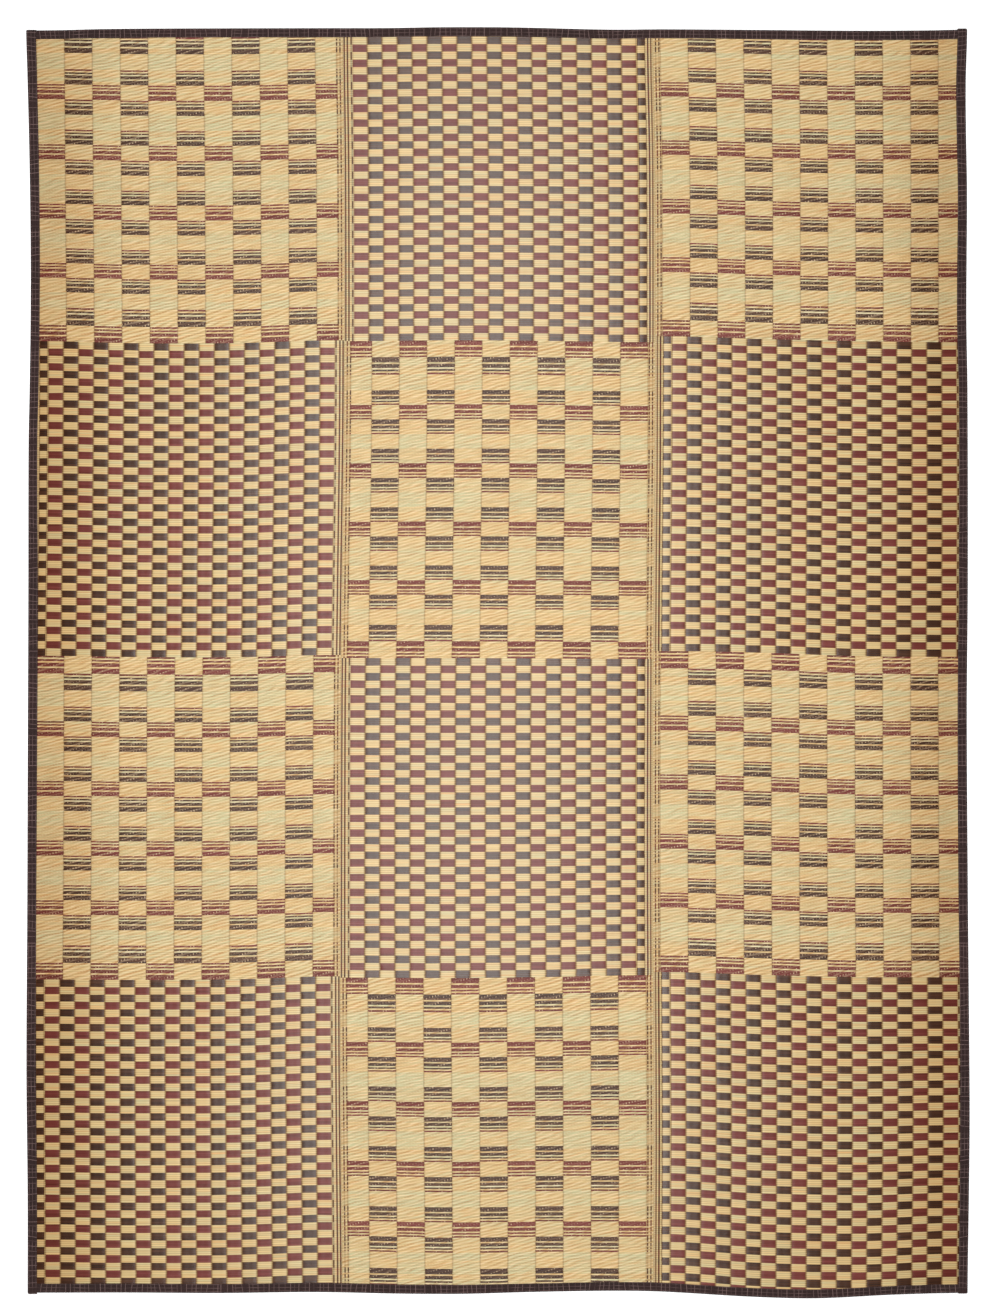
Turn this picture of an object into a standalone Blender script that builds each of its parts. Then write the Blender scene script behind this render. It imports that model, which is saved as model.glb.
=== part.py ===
"""Rush floor rug: three woven strips side by side, bound all round with folded cloth tape.

Metres, +Z up. The origin is the middle of the rug's outer box, on the floor. +Y runs along the
strips to the rug's far end and +X across them to its right side.
"""
from collections import namedtuple
from math import cos, pi, sin

import bmesh
import bpy

MM = 0.001

# Outer box of the rug as it lies
RUG_WIDTH = 2.625
RUG_LENGTH = 3.536

# Woven rush: thickness of the field, of a selvage at a joint, and of the rim that the tape holds
FIELD_TOP = 3.0 * MM
SELVAGE_TOP = 2.4 * MM
SELVAGE_WIDTH = 6.0 * MM
RIM_FLOOR = 1.3 * MM
RIM_TOP = 2.8 * MM
RIM_SLOPE = 1.0 * MM

# Folded cloth tape: total height, one layer, the round fold, the hem and its row of stitches
TAPE_HEIGHT = 4.0 * MM
TAPE_LAYER = 0.95 * MM
FOLD_RADIUS = 2.5 * MM
FOLD_STEPS = 6
HEM_DROP = 0.45 * MM
STITCH_INWARD = 3.0 * MM
STITCH_HALF = 1.5 * MM
STITCH_DEPTH = 0.25 * MM

# Clearances: between neighbours, and from the tape's outer line to the rush inside it
GAP = 0.3 * MM
TAPE_INSIDE = 1.2 * MM
RUSH_INSIDE = TAPE_INSIDE + GAP

# A side tape's tucked end: where it starts to round, and how far its corner draws in and drops
TUCK_SHARE = 0.4
TUCK_DRAW_IN = (3.0 * MM, 0.9 * MM, 0.0)
TUCK_DROP = (1.0 * MM, 0.3 * MM, 0.0)

# Stations: equal shares of each strip's width, and of the rug's length
SHARES_ACROSS = 8
SHARES_ALONG = 24

# Colours, linear: the rush's natural straw and the tape's dark brown
STRAW = (0.66, 0.48, 0.24)
DARK_BROWN = (0.048, 0.031, 0.033)
RUSH_ROUGHNESS = 0.55
TAPE_ROUGHNESS = 0.85

# An edge row: metres along the edge, millimetres in from the outer box, and the tape's width there
EdgeRow = namedtuple("EdgeRow", "along inset width")

# Side edges, along from the far end
LEFT_EDGE = (
    EdgeRow(along=0.00, inset=0.0, width=27.5),
    EdgeRow(along=0.13, inset=3.5, width=27.0),
    EdgeRow(along=0.35, inset=9.0, width=26.5),
    EdgeRow(along=0.60, inset=12.5, width=26.0),
    EdgeRow(along=0.80, inset=12.5, width=25.5),
    EdgeRow(along=1.02, inset=9.5, width=25.0),
    EdgeRow(along=1.16, inset=6.8, width=24.5),
    EdgeRow(along=1.60, inset=6.0, width=27.0),
    EdgeRow(along=2.02, inset=4.5, width=26.5),
    EdgeRow(along=2.47, inset=3.0, width=25.5),
    EdgeRow(along=2.90, inset=0.8, width=27.0),
    EdgeRow(along=3.25, inset=4.2, width=26.5),
    EdgeRow(along=3.536, inset=4.2, width=26.0),
)
RIGHT_EDGE = (
    EdgeRow(along=0.00, inset=7.0, width=27.0),
    EdgeRow(along=0.15, inset=10.9, width=27.0),
    EdgeRow(along=0.28, inset=10.4, width=26.5),
    EdgeRow(along=0.46, inset=7.5, width=26.0),
    EdgeRow(along=0.80, inset=9.2, width=26.5),
    EdgeRow(along=1.02, inset=6.0, width=24.5),
    EdgeRow(along=1.55, inset=5.2, width=25.5),
    EdgeRow(along=1.90, inset=8.0, width=26.0),
    EdgeRow(along=2.42, inset=5.0, width=26.5),
    EdgeRow(along=2.69, inset=2.5, width=25.5),
    EdgeRow(along=3.02, inset=0.0, width=27.0),
    EdgeRow(along=3.25, inset=2.2, width=26.0),
    EdgeRow(along=3.536, inset=5.8, width=25.5),
)

# End edges, along from the left side
FAR_EDGE = (
    EdgeRow(along=0.00, inset=8.9, width=25.0),
    EdgeRow(along=0.09, inset=8.3, width=25.0),
    EdgeRow(along=0.21, inset=5.3, width=26.0),
    EdgeRow(along=0.41, inset=3.6, width=25.5),
    EdgeRow(along=0.80, inset=2.6, width=26.0),
    EdgeRow(along=1.01, inset=2.3, width=25.0),
    EdgeRow(along=1.15, inset=0.0, width=25.5),
    EdgeRow(along=1.35, inset=0.5, width=26.0),
    EdgeRow(along=1.62, inset=6.6, width=25.5),
    EdgeRow(along=1.78, inset=5.8, width=25.0),
    EdgeRow(along=2.02, inset=7.5, width=26.0),
    EdgeRow(along=2.32, inset=10.0, width=26.0),
    EdgeRow(along=2.50, inset=9.0, width=26.0),
    EdgeRow(along=2.625, inset=6.8, width=26.0),
)
NEAR_EDGE = (
    EdgeRow(along=0.00, inset=15.5, width=25.5),
    EdgeRow(along=0.27, inset=16.0, width=25.5),
    EdgeRow(along=0.54, inset=14.6, width=25.5),
    EdgeRow(along=0.80, inset=17.4, width=26.0),
    EdgeRow(along=1.05, inset=12.8, width=26.0),
    EdgeRow(along=1.22, inset=12.4, width=25.5),
    EdgeRow(along=1.40, inset=17.4, width=24.0),
    EdgeRow(along=1.61, inset=20.8, width=24.0),
    EdgeRow(along=1.76, inset=19.0, width=25.0),
    EdgeRow(along=2.00, inset=5.2, width=24.5),
    EdgeRow(along=2.15, inset=0.0, width=25.0),
    EdgeRow(along=2.24, inset=1.2, width=25.0),
    EdgeRow(along=2.42, inset=10.4, width=24.5),
    EdgeRow(along=2.625, inset=15.0, width=24.5),
)

# A joint row: metres from the far end, and metres across from the box's left side
JointRow = namedtuple("JointRow", "along across")

LEFT_JOINT = (
    JointRow(along=0.00, across=0.8810),
    JointRow(along=0.42, across=0.8850),
    JointRow(along=1.05, across=0.8850),
    JointRow(along=1.55, across=0.8790),
    JointRow(along=1.90, across=0.8750),
    JointRow(along=2.75, across=0.8738),
    JointRow(along=3.10, across=0.8760),
    JointRow(along=3.536, across=0.8795),
)
RIGHT_JOINT = (
    JointRow(along=0.00, across=1.7435),
    JointRow(along=0.40, across=1.7495),
    JointRow(along=1.15, across=1.7495),
    JointRow(along=1.50, across=1.7465),
    JointRow(along=1.90, across=1.7440),
    JointRow(along=2.40, across=1.7435),
    JointRow(along=3.05, across=1.7465),
    JointRow(along=3.536, across=1.7450),
)

# How far each side tape's tucked end stands out past the end tape beside it
CORNER_STANDS_OUT = {
    ("left", "far"): 1.2 * MM,
    ("left", "near"): 3.6 * MM,
    ("right", "far"): 3.0 * MM,
    ("right", "near"): 1.6 * MM,
}

# A line of rush: how far it lies inside its edge, and its underside's and top's heights
Stop = namedtuple("Stop", "inward floor top")


def row_slope(rows, column, index):
    """Rise of a column per metre along at one row; level at the table's two ends."""
    if index == 0 or index == len(rows) - 1:
        return 0.0
    before = rows[index - 1]
    after = rows[index + 1]
    rise = getattr(after, column) - getattr(before, column)
    return rise / (after.along - before.along)


def read(rows, column, along):
    """Value of a column at a distance along, on a smooth curve through the table's rows."""
    index = 0
    while index < len(rows) - 2 and along > rows[index + 1].along:
        index += 1
    start = rows[index]
    end = rows[index + 1]
    span = end.along - start.along
    t = min(max((along - start.along) / span, 0.0), 1.0)
    from_start = getattr(start, column) * (1 + 2 * t) * (1 - t) ** 2
    from_end = getattr(end, column) * (3 - 2 * t) * t ** 2
    leaving = row_slope(rows, column, index) * span * t * (1 - t) ** 2
    arriving = row_slope(rows, column, index + 1) * span * t ** 2 * (t - 1)
    return from_start + from_end + leaving + arriving


def left_line(y):
    """The rug's left edge."""
    return -RUG_WIDTH / 2 + read(LEFT_EDGE, "inset", RUG_LENGTH / 2 - y) * MM


def right_line(y):
    """The rug's right edge."""
    return RUG_WIDTH / 2 - read(RIGHT_EDGE, "inset", RUG_LENGTH / 2 - y) * MM


def far_line(x):
    """The rug's far end."""
    return RUG_LENGTH / 2 - read(FAR_EDGE, "inset", RUG_WIDTH / 2 + x) * MM


def near_line(x):
    """The rug's near end."""
    return -RUG_LENGTH / 2 + read(NEAR_EDGE, "inset", RUG_WIDTH / 2 + x) * MM


def left_joint_line(y):
    """The line where the left strip meets the middle one."""
    return -RUG_WIDTH / 2 + read(LEFT_JOINT, "across", RUG_LENGTH / 2 - y)


def right_joint_line(y):
    """The line where the middle strip meets the right one."""
    return -RUG_WIDTH / 2 + read(RIGHT_JOINT, "across", RUG_LENGTH / 2 - y)


def side_width(rows, y):
    """Width of a side tape at y."""
    return read(rows, "width", RUG_LENGTH / 2 - y) * MM


def end_width(rows, x):
    """Width of an end tape at x."""
    return read(rows, "width", RUG_WIDTH / 2 + x) * MM


def between(low, high, share):
    """The value a share of the way from low to high."""
    return low + (high - low) * share


def settle(x_at, y_at):
    """The point where a line x = x_at(y) crosses a line y = y_at(x)."""
    x = x_at(0.0)
    y = y_at(x)
    for _ in range(4):
        x = x_at(y)
        y = y_at(x)
    return x, y


def bound_stops(tape_width):
    """Lines of rush inside a taped edge: its rim under the tape, then the field."""
    rim_end = tape_width + GAP
    return (
        Stop(RUSH_INSIDE, RIM_FLOOR, RIM_TOP),
        Stop(rim_end, RIM_FLOOR, RIM_TOP),
        Stop(rim_end + RIM_SLOPE, 0.0, FIELD_TOP),
    )


def joint_stops(_along):
    """Lines of rush beside a joint: the thin selvage, then the field."""
    return (
        Stop(GAP / 2, 0.0, SELVAGE_TOP),
        Stop(SELVAGE_WIDTH, 0.0, FIELD_TOP),
    )


def left_stops(y):
    """Lines of rush inside the left edge at y."""
    return bound_stops(side_width(LEFT_EDGE, y))


def right_stops(y):
    """Lines of rush inside the right edge at y."""
    return bound_stops(side_width(RIGHT_EDGE, y))


def far_stops(x):
    """Lines of rush inside the far end at x."""
    return bound_stops(end_width(FAR_EDGE, x))


def near_stops(x):
    """Lines of rush inside the near end at x."""
    return bound_stops(end_width(NEAR_EDGE, x))


def grid_lines(low_line, high_line, low_stops, high_stops, shares):
    """Lines of a strip in one direction, as pairs of a position and its heights.

    Each is a function of the other coordinate. The stops count inward from the two edges and
    the lines between them divide the whole span into equal shares.
    """
    lines = []
    for index in range(len(low_stops(0.0))):
        lines.append((
            lambda other, index=index: low_line(other) + low_stops(other)[index].inward,
            low_stops(0.0)[index],
        ))
    for number in range(1, shares):
        lines.append((
            lambda other, share=number / shares: between(low_line(other), high_line(other), share),
            Stop(0.0, 0.0, FIELD_TOP),
        ))
    for index in reversed(range(len(high_stops(0.0)))):
        lines.append((
            lambda other, index=index: high_line(other) - high_stops(other)[index].inward,
            high_stops(0.0)[index],
        ))
    return lines


def cloth_material(name, colour, roughness):
    """A plain matt cloth or rush material."""
    material = bpy.data.materials.new(name)
    material.use_nodes = True
    shader = material.node_tree.nodes["Principled BSDF"]
    shader.inputs["Base Color"].default_value = (*colour, 1.0)
    shader.inputs["Roughness"].default_value = roughness
    shader.inputs["Metallic"].default_value = 0.0
    return material


def finish(name, mesh_data, colour, roughness):
    """Turn a bmesh into a named object with outward faces, smooth folds and its material."""
    bmesh.ops.recalc_face_normals(mesh_data, faces=mesh_data.faces)
    mesh = bpy.data.meshes.new(name)
    mesh_data.to_mesh(mesh)
    mesh_data.free()
    mesh.shade_smooth()
    mesh.set_sharp_from_angle(angle=pi / 5)
    mesh.materials.append(cloth_material(name, colour, roughness))
    piece = bpy.data.objects.new(name, mesh)
    bpy.context.collection.objects.link(piece)
    return piece


def quad_strip(mesh_data, first, second, closed):
    """Faces between two rows of vertices of equal length."""
    count = len(first)
    last = count if closed else count - 1
    for index in range(last):
        after = (index + 1) % count
        mesh_data.faces.new((first[index], first[after], second[after], second[index]))


def rush_strip(name, x_lines, y_lines):
    """One woven strip: a thin sheet whose rim is pressed flatter where the tape holds it."""
    mesh_data = bmesh.new()
    tops = []
    floors = []
    for x_at, x_stop in x_lines:
        top_row = []
        floor_row = []
        for y_at, y_stop in y_lines:
            x, y = settle(x_at, y_at)
            top_row.append(mesh_data.verts.new((x, y, min(x_stop.top, y_stop.top))))
            floor_row.append(mesh_data.verts.new((x, y, max(x_stop.floor, y_stop.floor))))
        tops.append(top_row)
        floors.append(floor_row)
    for layer in (tops, floors):
        for first, second in zip(layer, layer[1:]):
            quad_strip(mesh_data, first, second, closed=False)
    for top_row, floor_row in ((tops[0], floors[0]), (tops[-1], floors[-1])):
        quad_strip(mesh_data, top_row, floor_row, closed=False)
    for end in (0, -1):
        top_end = [row[end] for row in tops]
        floor_end = [row[end] for row in floors]
        quad_strip(mesh_data, top_end, floor_end, closed=False)
    return finish(name, mesh_data, STRAW, RUSH_ROUGHNESS)


def tape_outside(width):
    """Outer side of the folded tape, from its lower hem round the fold to its upper hem."""
    points = [(width, 0.0)]
    for step in range(FOLD_STEPS + 1):
        angle = pi * (1.5 - step / FOLD_STEPS)
        inward = FOLD_RADIUS * (1 + cos(angle))
        height = TAPE_HEIGHT / 2 * (1 + sin(angle))
        points.append((inward, height))
    stitch = width - STITCH_INWARD
    points.append((stitch - STITCH_HALF, TAPE_HEIGHT))
    points.append((stitch, TAPE_HEIGHT - STITCH_DEPTH))
    points.append((stitch + STITCH_HALF, TAPE_HEIGHT))
    points.append((width, TAPE_HEIGHT - HEM_DROP))
    return points


def tape_inside(width):
    """Inner side of the folded tape, from its upper hem to its lower one."""
    return [
        (width, TAPE_HEIGHT - TAPE_LAYER),
        (TAPE_INSIDE, TAPE_HEIGHT - TAPE_LAYER),
        (TAPE_INSIDE, TAPE_LAYER),
        (width, TAPE_LAYER),
    ]


def strip_shares():
    """Every line across the rug that an end tape shares with the strips, as a function of y."""
    edges = (left_line, left_joint_line, right_joint_line, right_line)
    lines = []
    for low_line, high_line in zip(edges, edges[1:]):
        for number in range(1, SHARES_ACROSS + 1):
            lines.append(
                lambda y, low=low_line, high=high_line, share=number / SHARES_ACROSS:
                between(low(y), high(y), share)
            )
    return lines[:-1]


def end_tape(name, end_line, rows, inward_sign):
    """The tape round one end, from side tape to side tape; inward_sign points into the rug."""
    stations = [lambda y: left_line(y) + side_width(LEFT_EDGE, y) + GAP]
    stations += strip_shares()
    stations += [lambda y: right_line(y) - side_width(RIGHT_EDGE, y) - GAP]
    mesh_data = bmesh.new()
    sections = []
    for x_at in stations:
        station_x, _ = settle(x_at, end_line)
        width = end_width(rows, station_x)
        loop = []
        for inward, height in tape_outside(width) + tape_inside(width):
            x, y = settle(x_at, lambda x, inward=inward: end_line(x) + inward_sign * inward)
            loop.append(mesh_data.verts.new((x, y, height)))
        sections.append(loop)
    for first, second in zip(sections, sections[1:]):
        quad_strip(mesh_data, first, second, closed=True)
    mesh_data.faces.new(sections[0])
    mesh_data.faces.new(sections[-1])
    return finish(name, mesh_data, DARK_BROWN, TAPE_ROUGHNESS)


def tuck_stations(end_line, inward_sign, stands_out):
    """Stations of a side tape's closed end: a place, a draw-in and a drop for each."""
    depth = stands_out + TAPE_INSIDE
    places = (-stands_out, TUCK_SHARE * depth - stands_out, TAPE_INSIDE)
    return [
        (lambda x, place=place: end_line(x) + inward_sign * place, draw_in, drop)
        for place, draw_in, drop in zip(places, TUCK_DRAW_IN, TUCK_DROP)
    ]


def side_stations(side):
    """Stations of a side tape from near to far: a place along it, a draw-in and a drop for each."""
    near_tuck = tuck_stations(near_line, 1, CORNER_STANDS_OUT[side, "near"])
    far_tuck = tuck_stations(far_line, -1, CORNER_STANDS_OUT[side, "far"])
    stations = [(lambda x: near_line(x) + end_width(NEAR_EDGE, x) + GAP, 0.0, 0.0)]
    for number in range(1, SHARES_ALONG):
        stations.append((
            lambda x, share=number / SHARES_ALONG: between(near_line(x), far_line(x), share),
            0.0,
            0.0,
        ))
    stations.append((lambda x: far_line(x) - end_width(FAR_EDGE, x) - GAP, 0.0, 0.0))
    return [*near_tuck, *stations, *reversed(far_tuck)]


def tape_ring(profile, width, station, side_line, inward_sign):
    """Points of a side tape's profile at one station, drawn in and dropped where it is tucked."""
    y_at, draw_in, drop = station
    keep_across = (width - draw_in) / width
    keep_height = (TAPE_HEIGHT - drop) / TAPE_HEIGHT
    ring = []
    for inward, height in profile:
        drawn = width - (width - inward) * keep_across
        x, y = settle(lambda y, drawn=drawn: side_line(y) + inward_sign * drawn, y_at)
        ring.append((x, y, height * keep_height))
    return ring


def side_tape(name, side, side_line, rows, inward_sign):
    """The tape round one side: a folded channel whose two ends close round the rug's corners."""
    stations = side_stations(side)
    first_open = len(TUCK_DROP) - 1
    last_open = len(stations) - len(TUCK_DROP)
    mesh_data = bmesh.new()
    outsides = []
    insides = []
    for index, station in enumerate(stations):
        _, y = settle(side_line, station[0])
        width = side_width(rows, y)
        ring = tape_ring(tape_outside(width), width, station, side_line, inward_sign)
        outsides.append([mesh_data.verts.new(point) for point in ring])
        inside = []
        if first_open <= index <= last_open:
            ring = tape_ring(tape_inside(width), width, station, side_line, inward_sign)
            inside = [mesh_data.verts.new(point) for point in ring]
        insides.append(inside)

    for index in range(len(stations) - 1):
        outside = outsides[index]
        next_outside = outsides[index + 1]
        inside = insides[index]
        next_inside = insides[index + 1]
        quad_strip(mesh_data, outside, next_outside, closed=False)
        if inside and next_inside:
            channel = [outside[-1], *inside, outside[0]]
            next_channel = [next_outside[-1], *next_inside, next_outside[0]]
            quad_strip(mesh_data, channel, next_channel, closed=False)
        else:
            lower_hem = [outside[0], *inside[-1:]]
            upper_hem = [*inside[:1], outside[-1]]
            next_hems = [next_outside[-1], *next_inside[:1], *next_inside[-1:], next_outside[0]]
            mesh_data.faces.new([*lower_hem, *upper_hem, *next_hems])
    for ring in (insides[first_open], insides[last_open], outsides[0], outsides[-1]):
        mesh_data.faces.new(ring)
    return finish(name, mesh_data, DARK_BROWN, TAPE_ROUGHNESS)


def build_strips():
    """The three woven strips, which share the lines along the rug."""
    y_lines = grid_lines(near_line, far_line, near_stops, far_stops, SHARES_ALONG)
    strips = (
        ("rush_strip_left", left_line, left_joint_line, left_stops, joint_stops),
        ("rush_strip_middle", left_joint_line, right_joint_line, joint_stops, joint_stops),
        ("rush_strip_right", right_joint_line, right_line, joint_stops, right_stops),
    )
    for name, low_line, high_line, low_stops, high_stops in strips:
        x_lines = grid_lines(low_line, high_line, low_stops, high_stops, SHARES_ACROSS)
        rush_strip(name, x_lines, y_lines)


def build_tapes():
    """The four lengths of binding tape."""
    side_tape("binding_left", "left", left_line, LEFT_EDGE, 1)
    side_tape("binding_right", "right", right_line, RIGHT_EDGE, -1)
    end_tape("binding_far", far_line, FAR_EDGE, -1)
    end_tape("binding_near", near_line, NEAR_EDGE, 1)


def main():
    """Clear the scene and build the rug."""
    for item in list(bpy.data.objects):
        bpy.data.objects.remove(item, do_unlink=True)
    build_strips()
    build_tapes()


main()
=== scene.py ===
"""Looks for the rush rug: woven blocks of checks and stripes, sewn joints and a bound edge."""
from collections import namedtuple
from math import pi, radians, tan

import bmesh
import bpy
import numpy as np
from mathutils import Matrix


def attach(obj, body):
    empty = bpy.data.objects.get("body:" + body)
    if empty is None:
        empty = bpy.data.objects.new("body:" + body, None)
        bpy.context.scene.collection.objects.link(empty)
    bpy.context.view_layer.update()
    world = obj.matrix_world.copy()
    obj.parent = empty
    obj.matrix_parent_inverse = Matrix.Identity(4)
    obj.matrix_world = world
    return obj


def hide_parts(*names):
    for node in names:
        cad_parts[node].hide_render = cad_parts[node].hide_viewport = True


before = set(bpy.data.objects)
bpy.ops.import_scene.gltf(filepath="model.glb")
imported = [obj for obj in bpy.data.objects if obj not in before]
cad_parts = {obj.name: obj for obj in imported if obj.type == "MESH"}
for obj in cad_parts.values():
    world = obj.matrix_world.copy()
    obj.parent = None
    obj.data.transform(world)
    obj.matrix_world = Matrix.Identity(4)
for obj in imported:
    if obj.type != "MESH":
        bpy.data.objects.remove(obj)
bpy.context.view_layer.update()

MM = 0.001

# Seeds of the random draws; each block, tape, row of stitches and joint adds its number
BLOCK_SEED = 20
TAPE_SEED = 120
STITCH_SEED = 220
LACE_SEED = 320

# Outer box of the rug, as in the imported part
RUG_WIDTH = 2.625
RUG_LENGTH = 3.536

# Woven rush: heights, slopes and depths
FIELD_TOP = 3.0 * MM
RIM_FLOOR = 1.3 * MM
RIM_TOP = 2.75 * MM
RIM_SLOPE = 1.0 * MM
JOINT_TOP = 2.35 * MM
JOINT_SLOPE = 4.0 * MM
RIDGE_DEPTH = 0.42 * MM
PINCH_DEPTH = 0.85 * MM
CROWN_DEPTH = 0.3 * MM
RIB_DEPTH = 0.55 * MM
GAP = 0.3 * MM
TAPE_INSIDE = 1.2 * MM
UNDER_TAPE = 5.0 * MM
PINCH_FLATTENS = 0.4

# Slanting lines of twill in the striped blocks
TWILL_DEPTH = 0.22 * MM
TWILL_FROM = 0.3
TWILL_RISE = tan(radians(15.0))
TWILL_PITCH = 9.6 * MM

# How uneven the weave is: the ends of its floats, the waver of its rows and the swell of its face
END_JITTER = 0.5 * MM
ROW_WAVE = 0.45 * MM
ROWS_PER_WAVE = 8
WAVES_ACROSS = 26
FACE_WAVE = 0.06 * MM
FACE_WAVES = (14, 14)

# Light lost in the valleys, at pinched lines of each kind of block and in the selvages' dyed ribs,
# which are narrower than the widest rib in mm
VALLEY_SHADOW = 0.4
PINCH_SHADOW = {"A": 0.3, "B": 0.6}
SELVAGE_SHADOW = 0.4
WIDEST_RIB = 7.5

# Shade: its mean, its spread from ridge to ridge and from float to float, and what is darker
MEAN_SHADE = 0.5
RIDGE_SPREAD = 0.10
FLOAT_SPREAD = 0.13
RIB_SHADE = 0.5
LAST_GAP_SHADE = 0.35

# Greenness of natural rush: in black and red rows of checks, then in a striped block's red and
# black columns, each where a plain, a black and a red band runs; above 1 the rush is bleached
CHECK_GREEN = (0.26, 0.12)
CHECK_GREEN_SPREAD = 0.10
RIB_PALE = 1.3
RED_COLUMN_GREEN = (0.88, 0.3, 0.25)
BLACK_COLUMN_GREEN = (0.2, 0.35, 0.15)
STRIPE_GREEN_SPREAD = 0.08
BUNDLE_RIDGES = 3
BUNDLE_SPREAD = 0.2
PALEST = 1.45
LEAST_PALE = 0.5

# Underside: equal shares of a block in each direction; and its red, black, green and shade
SHARES_UNDER = 8
UNDER_DYE = (0.0, 0.0, 0.4, 0.45)

# How much of a block's own bake map its face takes, its underside and its walls
ACROSS_MAP = (0.002, 0.998)
FACE_MAP = (0.21, 0.998)
UNDER_MAP = (0.002, 0.18)
WALL_MAP = (0.195, 0.199)
SHARP_RUSH = radians(50)

# Binding tape: its fold, its hem and the sewn groove beside the hem
TAPE_HEIGHT = 4.0 * MM
TAPE_LAYER = 0.95 * MM
FOLD_RADIUS = 2.5 * MM
FOLD_STEPS = 7
TOP_STEPS = 5
HEM_DROP = 0.45 * MM
HEM_WAVE = 0.35 * MM
STATIONS_PER_HEM_WAVE = 4
TAPE_WAVE = 0.08 * MM
STATIONS_PER_TAPE_WAVE = 3
STITCH_INWARD = 3.0 * MM
STITCH_HALF = 1.5 * MM
STITCH_DEPTH = 0.25 * MM
PUCKER_DEPTH = 0.22 * MM
STATION_STEP = 6.0 * MM
SHARP_TAPE = radians(60)

# A tape's bake map: its length in segments that lie one above another
MAP_SEGMENTS = 12
SEGMENT_MAP = (0.003, 0.997)
GIRTH_MAP = (0.02, 0.98)

# A side tape's tucked end: shares of its depth, the places of its channel's corners from hem to
# hem, how far its corner draws in, how far it drops, and how far each corner stands out past
# the woven end
TUCK_SHARES = (0.0, 0.15, 0.4, 0.7, 1.0)
CHANNEL_PLACES = (0.0, 0.3, 0.7, 1.0)
TUCK_DRAW_IN = (3.0 * MM, 1.8 * MM, 0.9 * MM, 0.2 * MM, 0.0)
TUCK_DROP = (1.0 * MM, 0.5 * MM, 0.3 * MM, 0.0, 0.0)
CORNER_STANDS_OUT = {
    ("left", "far"): 1.2 * MM,
    ("left", "near"): 3.6 * MM,
    ("right", "far"): 3.0 * MM,
    ("right", "near"): 1.6 * MM,
}

# Hem stitches and the lacing of the joints
STITCH_PITCH = 12.0 * MM
STITCH_LENGTH = 6.5 * MM
STITCH_WIDTH = 0.9 * MM
STITCH_CLEAR = 6.0 * MM
SIDE_ROW_CLEAR = 4.0 * MM
END_ROW_CLEAR = 30.0 * MM
STITCH_JITTER = 0.2 * MM
STITCH_LEAN = 0.05
LACE_PITCH = 4.2 * MM
LACE_WIDTH = 0.8 * MM
LACE_REACH = 2.6 * MM
LACE_JITTER = (0.15 * MM, 0.25 * MM)
LACE_LEAN = (0.12, 0.08)
THREAD_RISE = 0.35 * MM

# A stitch's corners, as shares of its length, width and rise, and the faces between them
STITCH_SHAPE = (
    (-0.5, 0.0, -0.6), (-0.25, -0.5, -0.3), (0.25, -0.5, -0.3), (0.5, 0.0, -0.6),
    (0.25, 0.5, -0.3), (-0.25, 0.5, -0.3), (-0.25, 0.0, 1.0), (0.25, 0.0, 1.0),
)
STITCH_TRIANGLES = (
    (0, 1, 6), (2, 3, 7), (3, 4, 7), (5, 0, 6),
    (0, 5, 1), (1, 5, 4), (1, 4, 2), (2, 4, 3),
)
STITCH_QUADS = ((1, 2, 7, 6), (4, 5, 6, 7))

# The camera looks straight down, as the photograph does, under one soft lamp
CAMERA_HEIGHT = 4.6
CAMERA_PLACE = (0.0058, 0.0146)
FRAME_HEIGHT = 3.660
SENSOR = 36.0
LAMP_SIZE = (2.3, 7.2)
LAMP_PLACE = (-0.18, 0.15, 4.8)
LAMP_WATTS = 416
WORLD_LIGHT = 0.12
FLOOR_HALF = 30.0
FLOOR_DROP = 0.5 * MM
FLOOR_GLOW = 0.12
FLOOR_COLOUR = (0.95, 0.95, 0.95, 1.0)
WHITE = (1.0, 1.0, 1.0, 1.0)

# An edge: metres along it, mm in from the box, and the tape's width in mm
EdgeRow = namedtuple("EdgeRow", "along inset width")

# Side edges run from the far end
LEFT_EDGE = tuple(EdgeRow(*row) for row in (
    (0.00, 0.0, 27.5), (0.13, 3.5, 27.0), (0.35, 9.0, 26.5), (0.60, 12.5, 26.0),
    (0.80, 12.5, 25.5), (1.02, 9.5, 25.0), (1.16, 6.8, 24.5), (1.60, 6.0, 27.0),
    (2.02, 4.5, 26.5), (2.47, 3.0, 25.5), (2.90, 0.8, 27.0), (3.25, 4.2, 26.5),
    (3.536, 4.2, 26.0),
))
RIGHT_EDGE = tuple(EdgeRow(*row) for row in (
    (0.00, 7.0, 27.0), (0.15, 10.9, 27.0), (0.28, 10.4, 26.5), (0.46, 7.5, 26.0),
    (0.80, 9.2, 26.5), (1.02, 6.0, 24.5), (1.55, 5.2, 25.5), (1.90, 8.0, 26.0),
    (2.42, 5.0, 26.5), (2.69, 2.5, 25.5), (3.02, 0.0, 27.0), (3.25, 2.2, 26.0),
    (3.536, 5.8, 25.5),
))

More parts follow.
